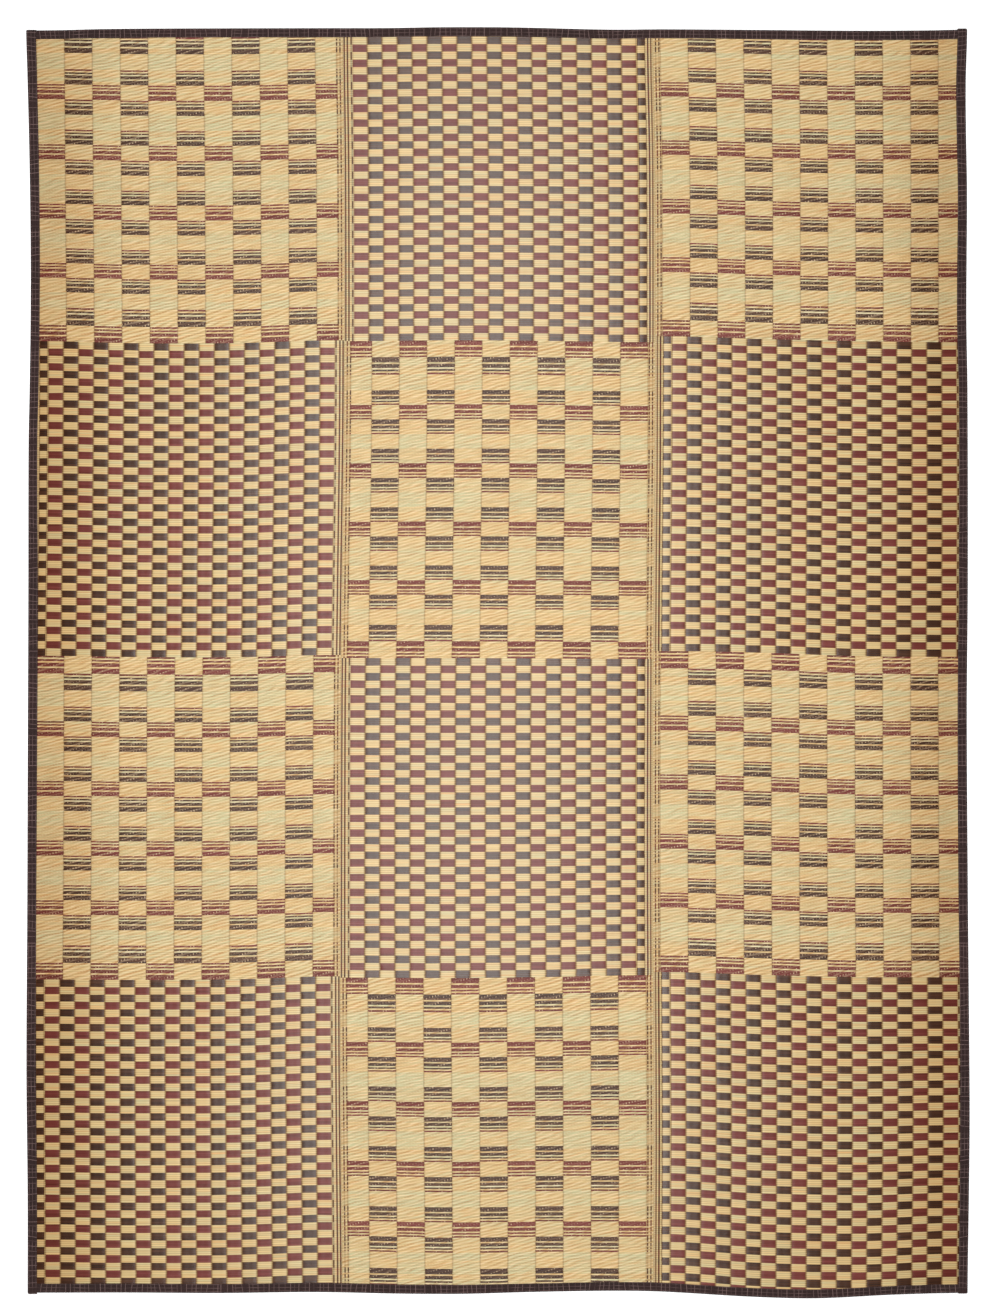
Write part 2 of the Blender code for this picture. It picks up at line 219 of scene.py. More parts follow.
# End edges run from the left side
FAR_EDGE = tuple(EdgeRow(*row) for row in (
    (0.00, 8.9, 25.0), (0.09, 8.3, 25.0), (0.21, 5.3, 26.0), (0.41, 3.6, 25.5),
    (0.80, 2.6, 26.0), (1.01, 2.3, 25.0), (1.15, 0.0, 25.5), (1.35, 0.5, 26.0),
    (1.62, 6.6, 25.5), (1.78, 5.8, 25.0), (2.02, 7.5, 26.0), (2.32, 10.0, 26.0),
    (2.50, 9.0, 26.0), (2.625, 6.8, 26.0),
))
NEAR_EDGE = tuple(EdgeRow(*row) for row in (
    (0.00, 15.5, 25.5), (0.27, 16.0, 25.5), (0.54, 14.6, 25.5), (0.80, 17.4, 26.0),
    (1.05, 12.8, 26.0), (1.22, 12.4, 25.5), (1.40, 17.4, 24.0), (1.61, 20.8, 24.0),
    (1.76, 19.0, 25.0), (2.00, 5.2, 24.5), (2.15, 0.0, 25.0), (2.24, 1.2, 25.0),
    (2.42, 10.4, 24.5), (2.625, 15.0, 24.5),
))

# A line down the rug: metres along from the far end, metres across from the left side
LineRow = namedtuple("LineRow", "along across")

# The joints between strips
LEFT_JOINT = tuple(LineRow(*row) for row in (
    (0.00, 0.8810), (0.42, 0.8850), (1.05, 0.8850), (1.55, 0.8790),
    (1.90, 0.8750), (2.75, 0.8738), (3.10, 0.8760), (3.536, 0.8795),
))
RIGHT_JOINT = tuple(LineRow(*row) for row in (
    (0.00, 1.7435), (0.40, 1.7495), (1.15, 1.7495), (1.50, 1.7465),
    (1.90, 1.7440), (2.40, 1.7435), (3.05, 1.7465), (3.536, 1.7450),
))

# The weave's outer lines under the side tapes, which are straighter than the tapes
WEAVE_LEFT = tuple(LineRow(*row) for row in (
    (0.00, 0.0090), (0.44, 0.0115), (0.87, 0.0150), (1.31, 0.0133), (1.75, 0.0087),
    (2.20, 0.0075), (2.75, 0.0045), (3.20, 0.0055), (3.536, 0.0065),
))
WEAVE_RIGHT = tuple(LineRow(*row) for row in (
    (0.00, 2.6138), (0.87, 2.6142), (1.31, 2.6160), (1.75, 2.6140),
    (2.65, 2.6176), (3.08, 2.6198), (3.536, 2.6155),
))

# Lines of weft that bound a strip's blocks: metres along from the left side, and for each line
# its mm down from the far end there; then how far each block's middle is bowed down, in mm
WeftLines = namedtuple("WeftLines", "along down bows")
LEFT_WEFT = WeftLines(
    along=(0.038, 0.308, 0.581, 0.851),
    down=(
        (13.1, 17.0, 17.8, 13.1),
        (873.3, 879.2, 878.9, 871.1),
        (1748.6, 1752.1, 1752.7, 1746.5),
        (2648.9, 2650.3, 2648.6, 2640.4),
        (3508.6, 3510.8, 3509.4, 3502.8),
    ),
    bows=(5.0, 0.7, 1.8, -2.1),
)
MIDDLE_WEFT = WeftLines(
    along=(0.906, 1.176, 1.444, 1.714),
    down=(
        (17.3, 15.3, 17.3, 19.5),
        (873.3, 871.1, 872.7, 876.1),
        (1754.9, 1755.2, 1756.0, 1757.7),
        (2644.0, 2645.2, 2642.4, 2637.4),
        (3508.1, 3513.1, 3509.8, 3511.7),
    ),
    bows=(2.5, 1.0, 1.1, -4.3),
)
RIGHT_WEFT = WeftLines(
    along=(1.775, 2.045, 2.315, 2.585),
    down=(
        (13.4, 19.5, 23.7, 20.9),
        (859.7, 867.5, 873.3, 876.4),
        (1735.7, 1740.0, 1749.6, 1751.6),
        (2628.3, 2636.3, 2642.5, 2643.0),
        (3508.0, 3524.0, 3528.5, 3519.0),
    ),
    bows=(-1.5, -0.8, 0.0, -6.0),
)

# Which weft shows in a span across a strip
PLAIN, BURGUNDY, BLACK, BOTH = range(4)

# A span across a strip, in mm from its own left selvage, and how many raised lines it has
Span = namedtuple("Span", "width weft lines")
RIB = 1
CHECK = 3
STRIPE = 4
EDGE_PINCH = 3.2
EDGE_BEND = 9.0


def in_turn(widths, wefts, lines):
    """Spans of some widths, with two wefts in turn."""
    return [Span(width, wefts[n % 2], lines) for n, width in enumerate(widths)]


CHECK_START = 46.4
CHECK_WIDTH = 41.83
CHECK_SPANS = (
    *in_turn([3.6, 4.3, 4.6, 4.3, 5.6], (PLAIN, BOTH), RIB),
    Span(22.2, BLACK, CHECK),
    Span(1.8, PLAIN, RIB),
    *in_turn([CHECK_WIDTH] * 19, (BURGUNDY, BLACK), CHECK),
    Span(4.8, BLACK, RIB),
    *in_turn([6.8, 3.9, 4.9, 3.9, 1.6], (PLAIN, BOTH), RIB),
)
STRIPE_SPANS = (
    *in_turn([5.2, 3.6, 5.6, 3.7, 1.7], (PLAIN, BOTH), RIB),
    *in_turn([77.1] * 10 + [57.3], (BURGUNDY, BLACK), STRIPE),
    *in_turn([3.7, 5.4, 3.7, 6.1], (BOTH, PLAIN), RIB),
)

# Along a strip a check row is five picks and a stripe band ten
PICK = 4.15 * MM
ROW_PICKS = 5
ROW_RIDGES = 4
CHECK_PICKS = 43 * ROW_PICKS
BAND_PICKS = 10
BANDS = 21
STRIPE_PICKS = BANDS * BAND_PICKS

# The bands at a block's two ends are woven a little looser
FIRST_BANDS = (1.16, 1.13, 1.07)
LAST_BANDS = (1.05, 1.20, 1.12)

# Picks of one band that are dyed: a thin, a thin, a medium and a thick line
DYED_PICKS = (0, 2, 4, 5, 7, 8, 9)
DYED_WIDTH = 1.10

# Picks at which the end blocks are cut off, under the tape
STRIPE_START = 8
CHECK_END = 207.5
CHECK_END_RIGHT = 210


def row_slope(rows, column, index):
    """Rise of a column per metre along at one row; level at the table's two ends."""
    if index == 0 or index == len(rows) - 1:
        return 0.0
    before = rows[index - 1]
    after = rows[index + 1]
    rise = getattr(after, column) - getattr(before, column)
    return rise / (after.along - before.along)


def read(rows, column, along):
    """Values of a column at distances along, on a smooth curve through the table's rows."""
    places = np.array([row.along for row in rows])
    values = np.array([getattr(row, column) for row in rows])
    slopes = np.array([row_slope(rows, column, index) for index in range(len(rows))])
    index = np.clip(np.searchsorted(places, along, side="left") - 1, 0, len(rows) - 2)
    span = places[index + 1] - places[index]
    t = np.clip((along - places[index]) / span, 0.0, 1.0)
    from_start = values[index] * (1 + 2 * t) * (1 - t) ** 2
    from_end = values[index + 1] * (3 - 2 * t) * t ** 2
    leaving = slopes[index] * span * t * (1 - t) ** 2
    arriving = slopes[index + 1] * span * t ** 2 * (t - 1)
    return from_start + from_end + leaving + arriving


def from_far(y):
    """Distance from the far end of the rug's box."""
    return RUG_LENGTH / 2 - y


def from_left(x):
    """Distance from the left side of the rug's box."""
    return RUG_WIDTH / 2 + x


def edge_line(rows, box_side, inward, distance):
    """An edge of the rug, as a function of the other coordinate."""
    return lambda other: box_side + inward * read(rows, "inset", distance(other)) * MM


def hem_line(edge, rows, inward, distance):
    """The inner edge of the tape round an edge."""
    return lambda other: edge(other) + inward * read(rows, "width", distance(other)) * MM


def long_line(rows):
    """A line down the rug."""
    return lambda y: -RUG_WIDTH / 2 + read(rows, "across", from_far(y))


def inside(line, distance):
    """A line moved by a distance."""
    return lambda other: line(other) + distance


left_line = edge_line(LEFT_EDGE, -RUG_WIDTH / 2, 1, from_far)
right_line = edge_line(RIGHT_EDGE, RUG_WIDTH / 2, -1, from_far)
far_line = edge_line(FAR_EDGE, RUG_LENGTH / 2, -1, from_left)
near_line = edge_line(NEAR_EDGE, -RUG_LENGTH / 2, 1, from_left)
left_hem = hem_line(left_line, LEFT_EDGE, 1, from_far)
right_hem = hem_line(right_line, RIGHT_EDGE, -1, from_far)
far_hem = hem_line(far_line, FAR_EDGE, -1, from_left)
near_hem = hem_line(near_line, NEAR_EDGE, 1, from_left)
left_joint_line = long_line(LEFT_JOINT)
right_joint_line = long_line(RIGHT_JOINT)

# A strip: its two x lines from its own left selvage, whether a tape holds them, whether it lies
# turned by half a turn, and its blocks from the far end: A for stripes, B for checks
Strip = namedtuple("Strip", "name left right left_taped right_taped turned weft kinds check_end")
STRIPS = (
    Strip(
        "left", long_line(WEAVE_LEFT), left_joint_line, True, False, False,
        LEFT_WEFT, "ABAB", CHECK_END,
    ),
    Strip(
        "middle", right_joint_line, left_joint_line, False, False, True,
        MIDDLE_WEFT, "BABA", CHECK_END,
    ),
    Strip(
        "right", right_joint_line, long_line(WEAVE_RIGHT), False, True, False,
        RIGHT_WEFT, "ABAB", CHECK_END_RIGHT,
    ),
)

# A tape: its edge, which way is inward from it, and the lines at which it starts and ends
Tape = namedtuple("Tape", "name rows line sign low high is_side")
TAPES = (
    Tape("left", LEFT_EDGE, left_line, 1, near_line, far_line, True),
    Tape("right", RIGHT_EDGE, right_line, -1, near_line, far_line, True),
    Tape("far", FAR_EDGE, far_line, -1, inside(left_hem, GAP), inside(right_hem, -GAP), False),
    Tape("near", NEAR_EDGE, near_line, 1, inside(left_hem, GAP), inside(right_hem, -GAP), False),
)


def weft_line(weft, number):
    """One of a strip's lines of weft, as a function of x."""
    rows = [LineRow(along, down) for along, down in zip(weft.along, weft.down[number])]
    return lambda x: RUG_LENGTH / 2 - read(rows, "across", from_left(x)) * MM


def settle(x_at, y_at, like):
    """Points where lines x = x_at(y) cross lines y = y_at(x), in an array shaped as like."""
    x = x_at(np.zeros_like(like))
    y = y_at(x)
    for _ in range(3):
        x = x_at(y)
        y = y_at(x)
    return x, y


def linear(red, green, blue):
    """A colour given in display values from 0 to 255, as linear light."""
    shares = np.array((red, green, blue)) / 255
    light = np.where(shares <= 0.04045, shares / 12.92, ((shares + 0.055) / 1.055) ** 2.4)
    return (*(float(value) for value in light), 1.0)


def smooth_noise(rng, shape, coarse, size):
    """Soft random values around 0, from a coarse grid spread over the shape."""
    grid = rng.normal(0.0, 1.0, coarse)
    rows = np.linspace(0, coarse[0] - 1, shape[0])
    columns = np.linspace(0, coarse[1] - 1, shape[1])
    low_row = np.minimum(rows.astype(int), coarse[0] - 2)
    low_column = np.minimum(columns.astype(int), coarse[1] - 2)
    t = (rows - low_row)[:, None]
    s = (columns - low_column)[None, :]
    t = t * t * (3 - 2 * t)
    s = s * s * (3 - 2 * s)
    here = grid[np.ix_(low_row, low_column)]
    across = grid[np.ix_(low_row, low_column + 1)]
    along = grid[np.ix_(low_row + 1, low_column)]
    beyond = grid[np.ix_(low_row + 1, low_column + 1)]
    return size * ((here * (1 - s) + across * s) * (1 - t) + (along * (1 - s) + beyond * s) * t)


def span_lines(spans):
    """Vertex lines across a strip: their places in mm, how pinched each is, and the wefts between."""
    places = []
    pinches = []
    wefts = []
    start = 0.0
    for span in spans:
        is_rib = span.lines == RIB
        places.append(start)
        pinches.append(RIB_DEPTH if is_rib else PINCH_DEPTH)
        if is_rib:
            inner = [span.width / 2]
        else:
            inset = np.array((EDGE_PINCH, EDGE_BEND))[:span.lines // 2]
            middle = [span.width / 2] if span.lines % 2 else []
            inner = np.concatenate([inset, middle, span.width - inset[::-1]])
        for place in inner:
            off_middle = abs(2 * place / span.width - 1)
            places.append(start + place)
            pinches.append(CROWN_DEPTH * off_middle ** 2 if span.lines == CHECK else 0.0)
        wefts += [span.weft] * (len(inner) + 1)
        start += span.width
    places.append(start)
    pinches.append(RIB_DEPTH)
    return np.array(places), np.array(pinches), np.array(wefts)


def check_rows(first, last):
    """Lines along a block of checks: their picks, how deep each valley is, and the dyes between."""
    step = ROW_PICKS / ROW_RIDGES / 2
    count = round((last - first) / step)
    half = np.arange(count + 1)
    picks = first + step * half
    picks[-1] = last
    valleys = (half % 2 == 0) * RIDGE_DEPTH
    row = ((picks[:-1] + step / 2) // ROW_PICKS).astype(int)
    dyes = np.where(row % 2 == 0, BLACK, BURGUNDY)
    return picks, valleys, dyes, dyes


def stripe_rows(first, last):
    """Lines along a block of stripes: picks, valleys, the columns that show, and the dyes."""
    half = np.arange(round((last - first) * 2) + 1)
    picks = first + 0.5 * half
    valleys = (half % 2 == 0) * RIDGE_DEPTH
    pick = np.floor(picks[:-1]).astype(int)
    band = pick // BAND_PICKS
    within = pick % BAND_PICKS
    # The bands run red, black, plain and black in turn
    shows = np.select([band % 4 == 0, band % 2 == 1], [BURGUNDY, BLACK], PLAIN)
    is_dyed = np.isin(within, DYED_PICKS) & (shows != PLAIN)
    red_line = (shows == BLACK) & (within == 0)
    dyes = np.where(is_dyed, np.where(red_line, BURGUNDY, shows), PLAIN)
    return picks, valleys, shows, dyes


def band_length(picks):
    """Length woven after a number of picks of a stripe block, with its looser end bands."""
    within = np.where(np.isin(np.arange(BAND_PICKS), DYED_PICKS), DYED_WIDTH, 1.0)
    within = within / within.mean()
    weights = np.ones(BANDS)
    weights[:len(FIRST_BANDS)] = FIRST_BANDS
    weights[-len(LAST_BANDS):] = LAST_BANDS
    ends = np.concatenate([[0.0], np.cumsum(np.outer(weights, within))])
    return np.interp(picks, np.arange(len(ends)), ends)


def strip_sides(strip):
    """The strip's two woven edges, from its own left selvage to its right one."""
    inward = -1 if strip.turned else 1
    left_in = 0.0 if strip.left_taped else GAP / 2 * inward
    right_in = 0.0 if strip.right_taped else GAP / 2 * inward
    return inside(strip.left, left_in), inside(strip.right, -right_in)


def block_ends(strip, number):
    """The block's two end lines, from its own first pick to its last."""
    ends = (weft_line(strip.weft, number), weft_line(strip.weft, number + 1))
    return ends[::-1] if strip.turned else ends


def block_rows(strip, number):
    """Rows of the block: lines along it as shares of its length, picks, valleys, shows, dyes."""
    place = len(strip.kinds) - 1 - number if strip.turned else number
    if strip.kinds[number] == "B":
        last = strip.check_end if place == len(strip.kinds) - 1 else CHECK_PICKS
        picks, valleys, shows, dyes = check_rows(0, last)
        woven = picks
    else:
        picks, valleys, shows, dyes = stripe_rows(STRIPE_START if place == 0 else 0, STRIPE_PICKS)
        woven = band_length(picks)
    shares = (woven - woven[0]) / (woven[-1] - woven[0])
    return shares, picks, valleys, shows, dyes


def grid_faces(grid, flip=False):
    """Quads of a grid of vertex numbers."""
    quads = np.stack([grid[:-1, :-1], grid[:-1, 1:], grid[1:, 1:], grid[1:, :-1]], axis=-1)
    quads = quads.reshape(-1, 4)
    return quads[:, ::-1] if flip else quads


def zipper(upper, lower, upper_at, lower_at):
    """Triangles between two rows of vertices, each given with its places along the edge."""
    triangles = []
    i = 0
    j = 0
    while i < len(upper) - 1 or j < len(lower) - 1:
        is_upper_left = i < len(upper) - 1
        is_lower_left = j < len(lower) - 1
        if is_upper_left and (not is_lower_left or upper_at[i + 1] <= lower_at[j + 1]):
            triangles.append((upper[i], lower[j], upper[i + 1]))
            i += 1
        else:
            triangles.append((upper[i], lower[j], lower[j + 1]))
            j += 1
    return triangles


def new_mesh(name, points, quads, triangles):
    """A mesh object from arrays of points, quads and triangles, shaded smooth."""
    mesh = bpy.data.meshes.new(name)
    loops = np.concatenate([quads.ravel(), triangles.ravel()]).astype(np.int32)
    sizes = np.concatenate([np.full(len(quads), 4), np.full(len(triangles), 3)])
    starts = np.concatenate([[0], np.cumsum(sizes)[:-1]])
    mesh.vertices.add(len(points))
    mesh.vertices.foreach_set("co", points.astype(np.float32).ravel())
    mesh.loops.add(len(loops))
    mesh.loops.foreach_set("vertex_index", loops)
    mesh.polygons.add(len(sizes))
    mesh.polygons.foreach_set("loop_start", starts.astype(np.int32))
    mesh.update(calc_edges=True)
    mesh.validate()
    mesh.shade_smooth()
    piece = bpy.data.objects.new(name, mesh)
    bpy.context.scene.collection.objects.link(piece)
    return piece


def face_outward(mesh):
    """Turn every face of a closed mesh outward."""
    shape = bmesh.new()
    shape.from_mesh(mesh)
    bmesh.ops.recalc_face_normals(shape, faces=shape.faces)
    shape.to_mesh(mesh)
    shape.free()


def whole_numbers(items, key):
    """One whole number of each of a mesh's loops or polygons."""
    values = np.empty(len(items), np.int32)
    items.foreach_get(key, values)
    return values


def set_attribute(mesh, name, values, kind, domain):
    """Give a mesh a named attribute."""
    attribute = mesh.attributes.new(name, kind, domain)
    key = "vector" if kind == "FLOAT_VECTOR" else "color"
    attribute.data.foreach_set(key, values.astype(np.float32).ravel())


def set_map(mesh, u, v):
    """Give a mesh its bake map."""
    layer = mesh.uv_layers.new(name="OFBake")
    layer.data.foreach_set("uv", np.stack([u, v], axis=-1).astype(np.float32).ravel())


def twill_wave(across, picks):
    """The slanting twill lines as a wave; they rise to the right, seen with the block upright."""
    return np.cos(2 * pi * (picks * PICK + TWILL_RISE * across * MM) / TWILL_PITCH)


def dye_of(shows, dyes, wefts):
    """What colour each cell of the face has: rows of dyed weft against spans across."""
    spans = wefts[None, :]
    visible = (spans == BOTH) | ((spans == shows[:, None]) & (spans != PLAIN))
    return np.where(visible, dyes[:, None], PLAIN)


def under_tape(strip, number, x, y, margin):
    """True where the rush lies under a tape, or within a margin of its hem."""
    covered = np.zeros(x.shape, bool)
    if strip.name == "left":
        covered |= x < left_hem(y) + margin
    if strip.name == "right":
        covered |= x > right_hem(y) - margin
    if number == 0:
        covered |= y > far_hem(x) - margin
    if number == len(strip.kinds) - 1:
        covered |= y < near_hem(x) + margin
    return covered


def block_top(strip, number, rng):
    """Points of a block's woven face, with its weave coordinates and dyes."""
    kind = strip.kinds[number]
    places, pinches, wefts = span_lines(CHECK_SPANS if kind == "B" else STRIPE_SPANS)
    shares, picks, valleys, shows, dyes = block_rows(strip, number)
    left, right = strip_sides(strip)
    start, end = block_ends(strip, number)
    shape = (len(picks), len(places))

    across = np.broadcast_to(places[None, :], shape)
    s = across / places[-1]
    t = np.broadcast_to(shares[:, None], shape)
    bow = strip.weft.bows[number] * MM * 4 * t * (1 - t)
    x, y = settle(
        lambda y: left(y) + (right(y) - left(y)) * s,
        lambda x: start(x) + (end(x) - start(x)) * t - bow,
        across,
    )

    # Each float of rush ends at its own place, and the rows are never quite straight
    inner = (s > 0) & (s < 1) & (t > 0) & (t < 1)
    end_jitter = rng.normal(0.0, END_JITTER, shape)
    end_jitter[2:-1:2] = (end_jitter[1:-2:2] + end_jitter[3::2]) / 2
    end_jitter = end_jitter * (pinches > RIB_DEPTH)[None, :]
    row_wave = smooth_noise(rng, shape, (shape[0] // ROWS_PER_WAVE, WAVES_ACROSS), ROW_WAVE)
    x = x + (-1 if strip.turned else 1) * np.where(inner, end_jitter, 0.0)
    y = y + np.where(inner, row_wave, 0.0)

    # Height: ridges of rush, pinched where they cross under a warp line
    depth = valleys[:, None] / RIDGE_DEPTH
    pinch = pinches[None, :] / PINCH_DEPTH
    low = RIDGE_DEPTH * depth * (1 - PINCH_FLATTENS * pinch) + PINCH_DEPTH * pinch
    pinch = np.clip((pinches[None, :] - CROWN_DEPTH) / (PINCH_DEPTH - CROWN_DEPTH), 0.0, 1.0)
    if kind == "A":
        dip = np.clip(twill_wave(across, picks[:, None]) - TWILL_FROM, 0.0, 1.0)
        low = low + TWILL_DEPTH * dip * (pinch < 0.5)
    low = low + smooth_noise(rng, shape, FACE_WAVES, FACE_WAVE) + FACE_WAVE
    top = FIELD_TOP - np.clip(low, 0.0, None)
    for is_taped, line in ((strip.left_taped, left), (strip.right_taped, right)):
        if not is_taped:
            rise = np.clip(np.abs(x - line(y)) / JOINT_SLOPE, 0.0, 1.0)
            top = np.minimum(top, JOINT_TOP + (FIELD_TOP - JOINT_TOP) * rise)
    top = np.where(under_tape(strip, number, x, y, UNDER_TAPE), np.minimum(top, RIM_TOP), top)

    in_selvage = np.zeros(shape[1], bool)
    is_narrow = places[2:] - places[:-2] < WIDEST_RIB
    in_selvage[1:-1] = is_narrow & (wefts[:-1] == wefts[1:]) & (wefts[1:] != PLAIN)
    shadow = VALLEY_SHADOW * depth + PINCH_SHADOW[kind] * pinch + SELVAGE_SHADOW * in_selvage
    lit = 1.0 - np.clip(shadow, 0.0, 1.0)
    weave = np.stack([across * MM, np.broadcast_to(picks[:, None], shape) * PICK, lit], axis=-1)
    points = np.stack([x, y, top], axis=-1)
    return points, weave, dye_of(shows, dyes, wefts), wefts, shows, s, t


def by_band(shows, plain, black, red):
    """A value for each row of a striped block, by the band that it lies in."""
    return np.select([shows == PLAIN, shows == BLACK], [plain, black], red)[:, None]


def cell_shades(rng, cells, wefts, shows, kind):
    """Per face: how dark its rush is, and how green or orange its natural colour is."""
    ridge = np.arange(len(cells)) // 2
    ridges = ridge[-1] + 1
    column = np.concatenate([[0], np.cumsum(wefts[1:] != wefts[:-1])])
    per_ridge = rng.normal(0.0, 1.0, ridges)[ridge][:, None]
    per_float = rng.normal(0.0, 1.0, (ridges, column[-1] + 1))[np.ix_(ridge, column)]
    shade = MEAN_SHADE + RIDGE_SPREAD * per_ridge + FLOAT_SPREAD * per_float
    if kind == "B":
        green = np.where(shows == BLACK, *CHECK_GREEN)[:, None] + CHECK_GREEN_SPREAD * per_float
        is_rib = (np.bincount(column)[column] == 2) & (wefts == BLACK)
        green = np.where(is_rib[None, :], RIB_PALE, green)
    else:
        in_red = by_band(shows, *RED_COLUMN_GREEN)
        in_black = by_band(shows, *BLACK_COLUMN_GREEN)
        bundle = ridge // BUNDLE_RIDGES
        per_bundle = rng.normal(0.0, 1.0, bundle[-1] + 1)[bundle][:, None]
        green = np.where((wefts == BURGUNDY)[None, :], in_red, in_black)
        green = green + STRIPE_GREEN_SPREAD * per_float + BUNDLE_SPREAD * per_bundle
        # Of the three gaps between a black band's lines the second is bleached, the last darker
        is_gap = (shows == BLACK) & (cells[:, np.argmax(wefts == BLACK)] == PLAIN)
        gap = np.where(is_gap, np.cumsum(is_gap & ~np.roll(is_gap, 1)) % 3, -1)[:, None]
        is_black_column = (wefts == BLACK)[None, :]
        pale = PALEST * rng.uniform(LEAST_PALE, 1.0, ridges)[ridge][:, None]
        green = np.where(is_black_column & (gap == 2), pale, np.clip(green, 0.0, 1.0))
        shade = shade + LAST_GAP_SHADE * (is_black_column & (gap == 0))
        shade = shade + RIB_SHADE * (wefts == PLAIN)[None, :]
    return np.clip(shade, 0.0, 1.0), np.clip(green, 0.0, PALEST)


def stops(line, hem, sign):
    """An outer line of an underside, with the slope's two lines inside the hem, if it has one."""
    if hem is None:
        return [line]
    return [line, inside(hem, sign * GAP), inside(hem, sign * (GAP + RIM_SLOPE))]


def between(first, second):
    """Lines at equal shares between two lines."""
    return [
        lambda other, share=n / SHARES_UNDER: first(other) + (second(other) - first(other)) * share
        for n in range(1, SHARES_UNDER)
    ]


def block_under(strip, number):
    """Points of a block's underside: flat on the floor, raised at the rims that a tape holds."""
    left, right = strip_sides(strip)
    start, end = block_ends(strip, number)
    far = far_hem if number == 0 else None
    near = near_hem if number == len(strip.kinds) - 1 else None
    inward = -1 if strip.turned else 1
    start_hem, end_hem = (near, far) if strip.turned else (far, near)
    x_lines = stops(left, left_hem if strip.left_taped else None, 1) + between(left, right)
    x_lines += stops(right, right_hem if strip.right_taped else None, -1)[::-1]
    y_lines = stops(start, start_hem, -inward) + between(start, end)
    y_lines += stops(end, end_hem, inward)[::-1]

    points = np.zeros((len(y_lines), len(x_lines), 3))
    for row, y_at in enumerate(y_lines):
        for column, x_at in enumerate(x_lines):
            x, y = settle(x_at, y_at, np.zeros(1))
            points[row, column, :2] = x[0], y[0]
    covered = under_tape(strip, number, points[..., 0], points[..., 1], GAP + RIM_SLOPE / 2)
    points[..., 2] = np.where(covered, RIM_FLOOR, 0.0)
    return points


def share_between(points, left, right, start, end):
    """Where points lie across and along a block, from 0 to 1 each way."""
    x = points[..., 0]
    y = points[..., 1]
    s = (x - left(y)) / (right(y) - left(y))
    t = (y - start(x)) / (end(x) - start(x))
    return np.clip(s, 0.0, 1.0), np.clip(t, 0.0, 1.0)


def rims(grid):
    """A grid's four rims, one after another round it."""
    return grid[0], grid[:, -1], grid[-1][::-1], grid[:, 0][::-1]


def rim_places(s, t):
    """Rising places along the four rims."""
    return s[0], t[:, -1], -s[-1][::-1], -t[:, 0][::-1]


def block_map(mesh, all_s, t, under_t, wall_count):
    """The block's bake map: face above, underside below, and the walls as a thin line between."""
    corners = whole_numbers(mesh.loops, "vertex_index")
    face_v = np.interp(t.ravel(), (0, 1), FACE_MAP)
    under_v = np.interp(under_t.ravel(), (0, 1), UNDER_MAP)
    v = np.concatenate([face_v, under_v])[corners]
    wall_loops = 3 * wall_count
    is_face = corners[-wall_loops:] < t.size
    v[-wall_loops:] = np.where(is_face, WALL_MAP[1], WALL_MAP[0])
    set_map(mesh, np.interp(all_s[corners], (0, 1), ACROSS_MAP), v)


def build_block(strip, number, materials):
    """One woven block: a closed thin sheet with a woven face and a flat underside."""
    rng = np.random.default_rng(BLOCK_SEED + 10 * STRIPS.index(strip) + number)
    kind = strip.kinds[number]
    top, weave, cells, wefts, shows, s, t = block_top(strip, number, rng)
    under = block_under(strip, number)
    under_s, under_t = share_between(under, *strip_sides(strip), *block_ends(strip, number))

    # Down its own length a strip that isn't turned runs to -Y, so its quads turn over
    top_index = np.arange(s.size).reshape(s.shape)
    under_index = s.size + np.arange(under_s.size).reshape(under_s.shape)
    face_quads = grid_faces(top_index, flip=True)
    quads = np.concatenate([face_quads, grid_faces(under_index)])
    walls = []
    both = (rims(top_index), rims(under_index), rim_places(s, t), rim_places(under_s, under_t))
    for rim in zip(*both):
        walls += zipper(*rim)
    points = np.concatenate([top.reshape(-1, 3), under.reshape(-1, 3)])
    piece = new_mesh(f"rush_{strip.name}_block_{number + 1}", points, quads, np.array(walls))
    mesh = piece.data
    face_outward(mesh)

    length = weave[-1, 0, 1] - weave[0, 0, 1]
    under_weave = np.stack(
        [under_s * weave[0, -1, 0], weave[0, 0, 1] + under_t * length, np.ones_like(under_s)],
        axis=-1,
    )
    values = np.concatenate([weave.reshape(-1, 3), under_weave.reshape(-1, 3)])
    set_attribute(mesh, "weave", values, "FLOAT_VECTOR", "POINT")

    shade, green = cell_shades(rng, cells, wefts, shows, kind)
    dye = np.stack([cells == BURGUNDY, cells == BLACK, green, shade], axis=-1)
    rest = np.tile(UNDER_DYE, (len(mesh.polygons) - len(face_quads), 1))
    face_dyes = np.concatenate([dye.reshape(-1, 4), rest])
    sizes = whole_numbers(mesh.polygons, "loop_total")
    set_attribute(mesh, "dye", np.repeat(face_dyes, sizes, axis=0), "FLOAT_COLOR", "CORNER")
    block_map(mesh, np.concatenate([s.ravel(), under_s.ravel()]), t, under_t, len(walls))

    mesh.set_sharp_from_angle(angle=SHARP_RUSH)
    mesh.materials.append(materials[kind])
    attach(piece, "root")
    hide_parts(f"rush_strip_{strip.name}")


class Value:
    """A number or a colour in a material; a sum with it adds a node."""

    def __init__(self, nodes, socket):
        self.nodes = nodes
        self.socket = socket

    def __add__(self, other):
        return self.nodes.math("ADD", self, other)

    def __mul__(self, other):
        return self.nodes.math("MULTIPLY", self, other)

    def clamped(self):
        """The same sum, held between 0 and 1."""
        self.socket.node.use_clamp = True
        return self

    def spread(self, low, high, to_low=0.0, to_high=1.0, smooth=False):
        """The value moved from one range to another; most of a noise lies from 0.3 to 0.7."""
        node = self.nodes.add("MapRange", interpolation_type="SMOOTHSTEP" if smooth else "LINEAR")
        return self.nodes.fill(node, self, low, high, to_low, to_high)


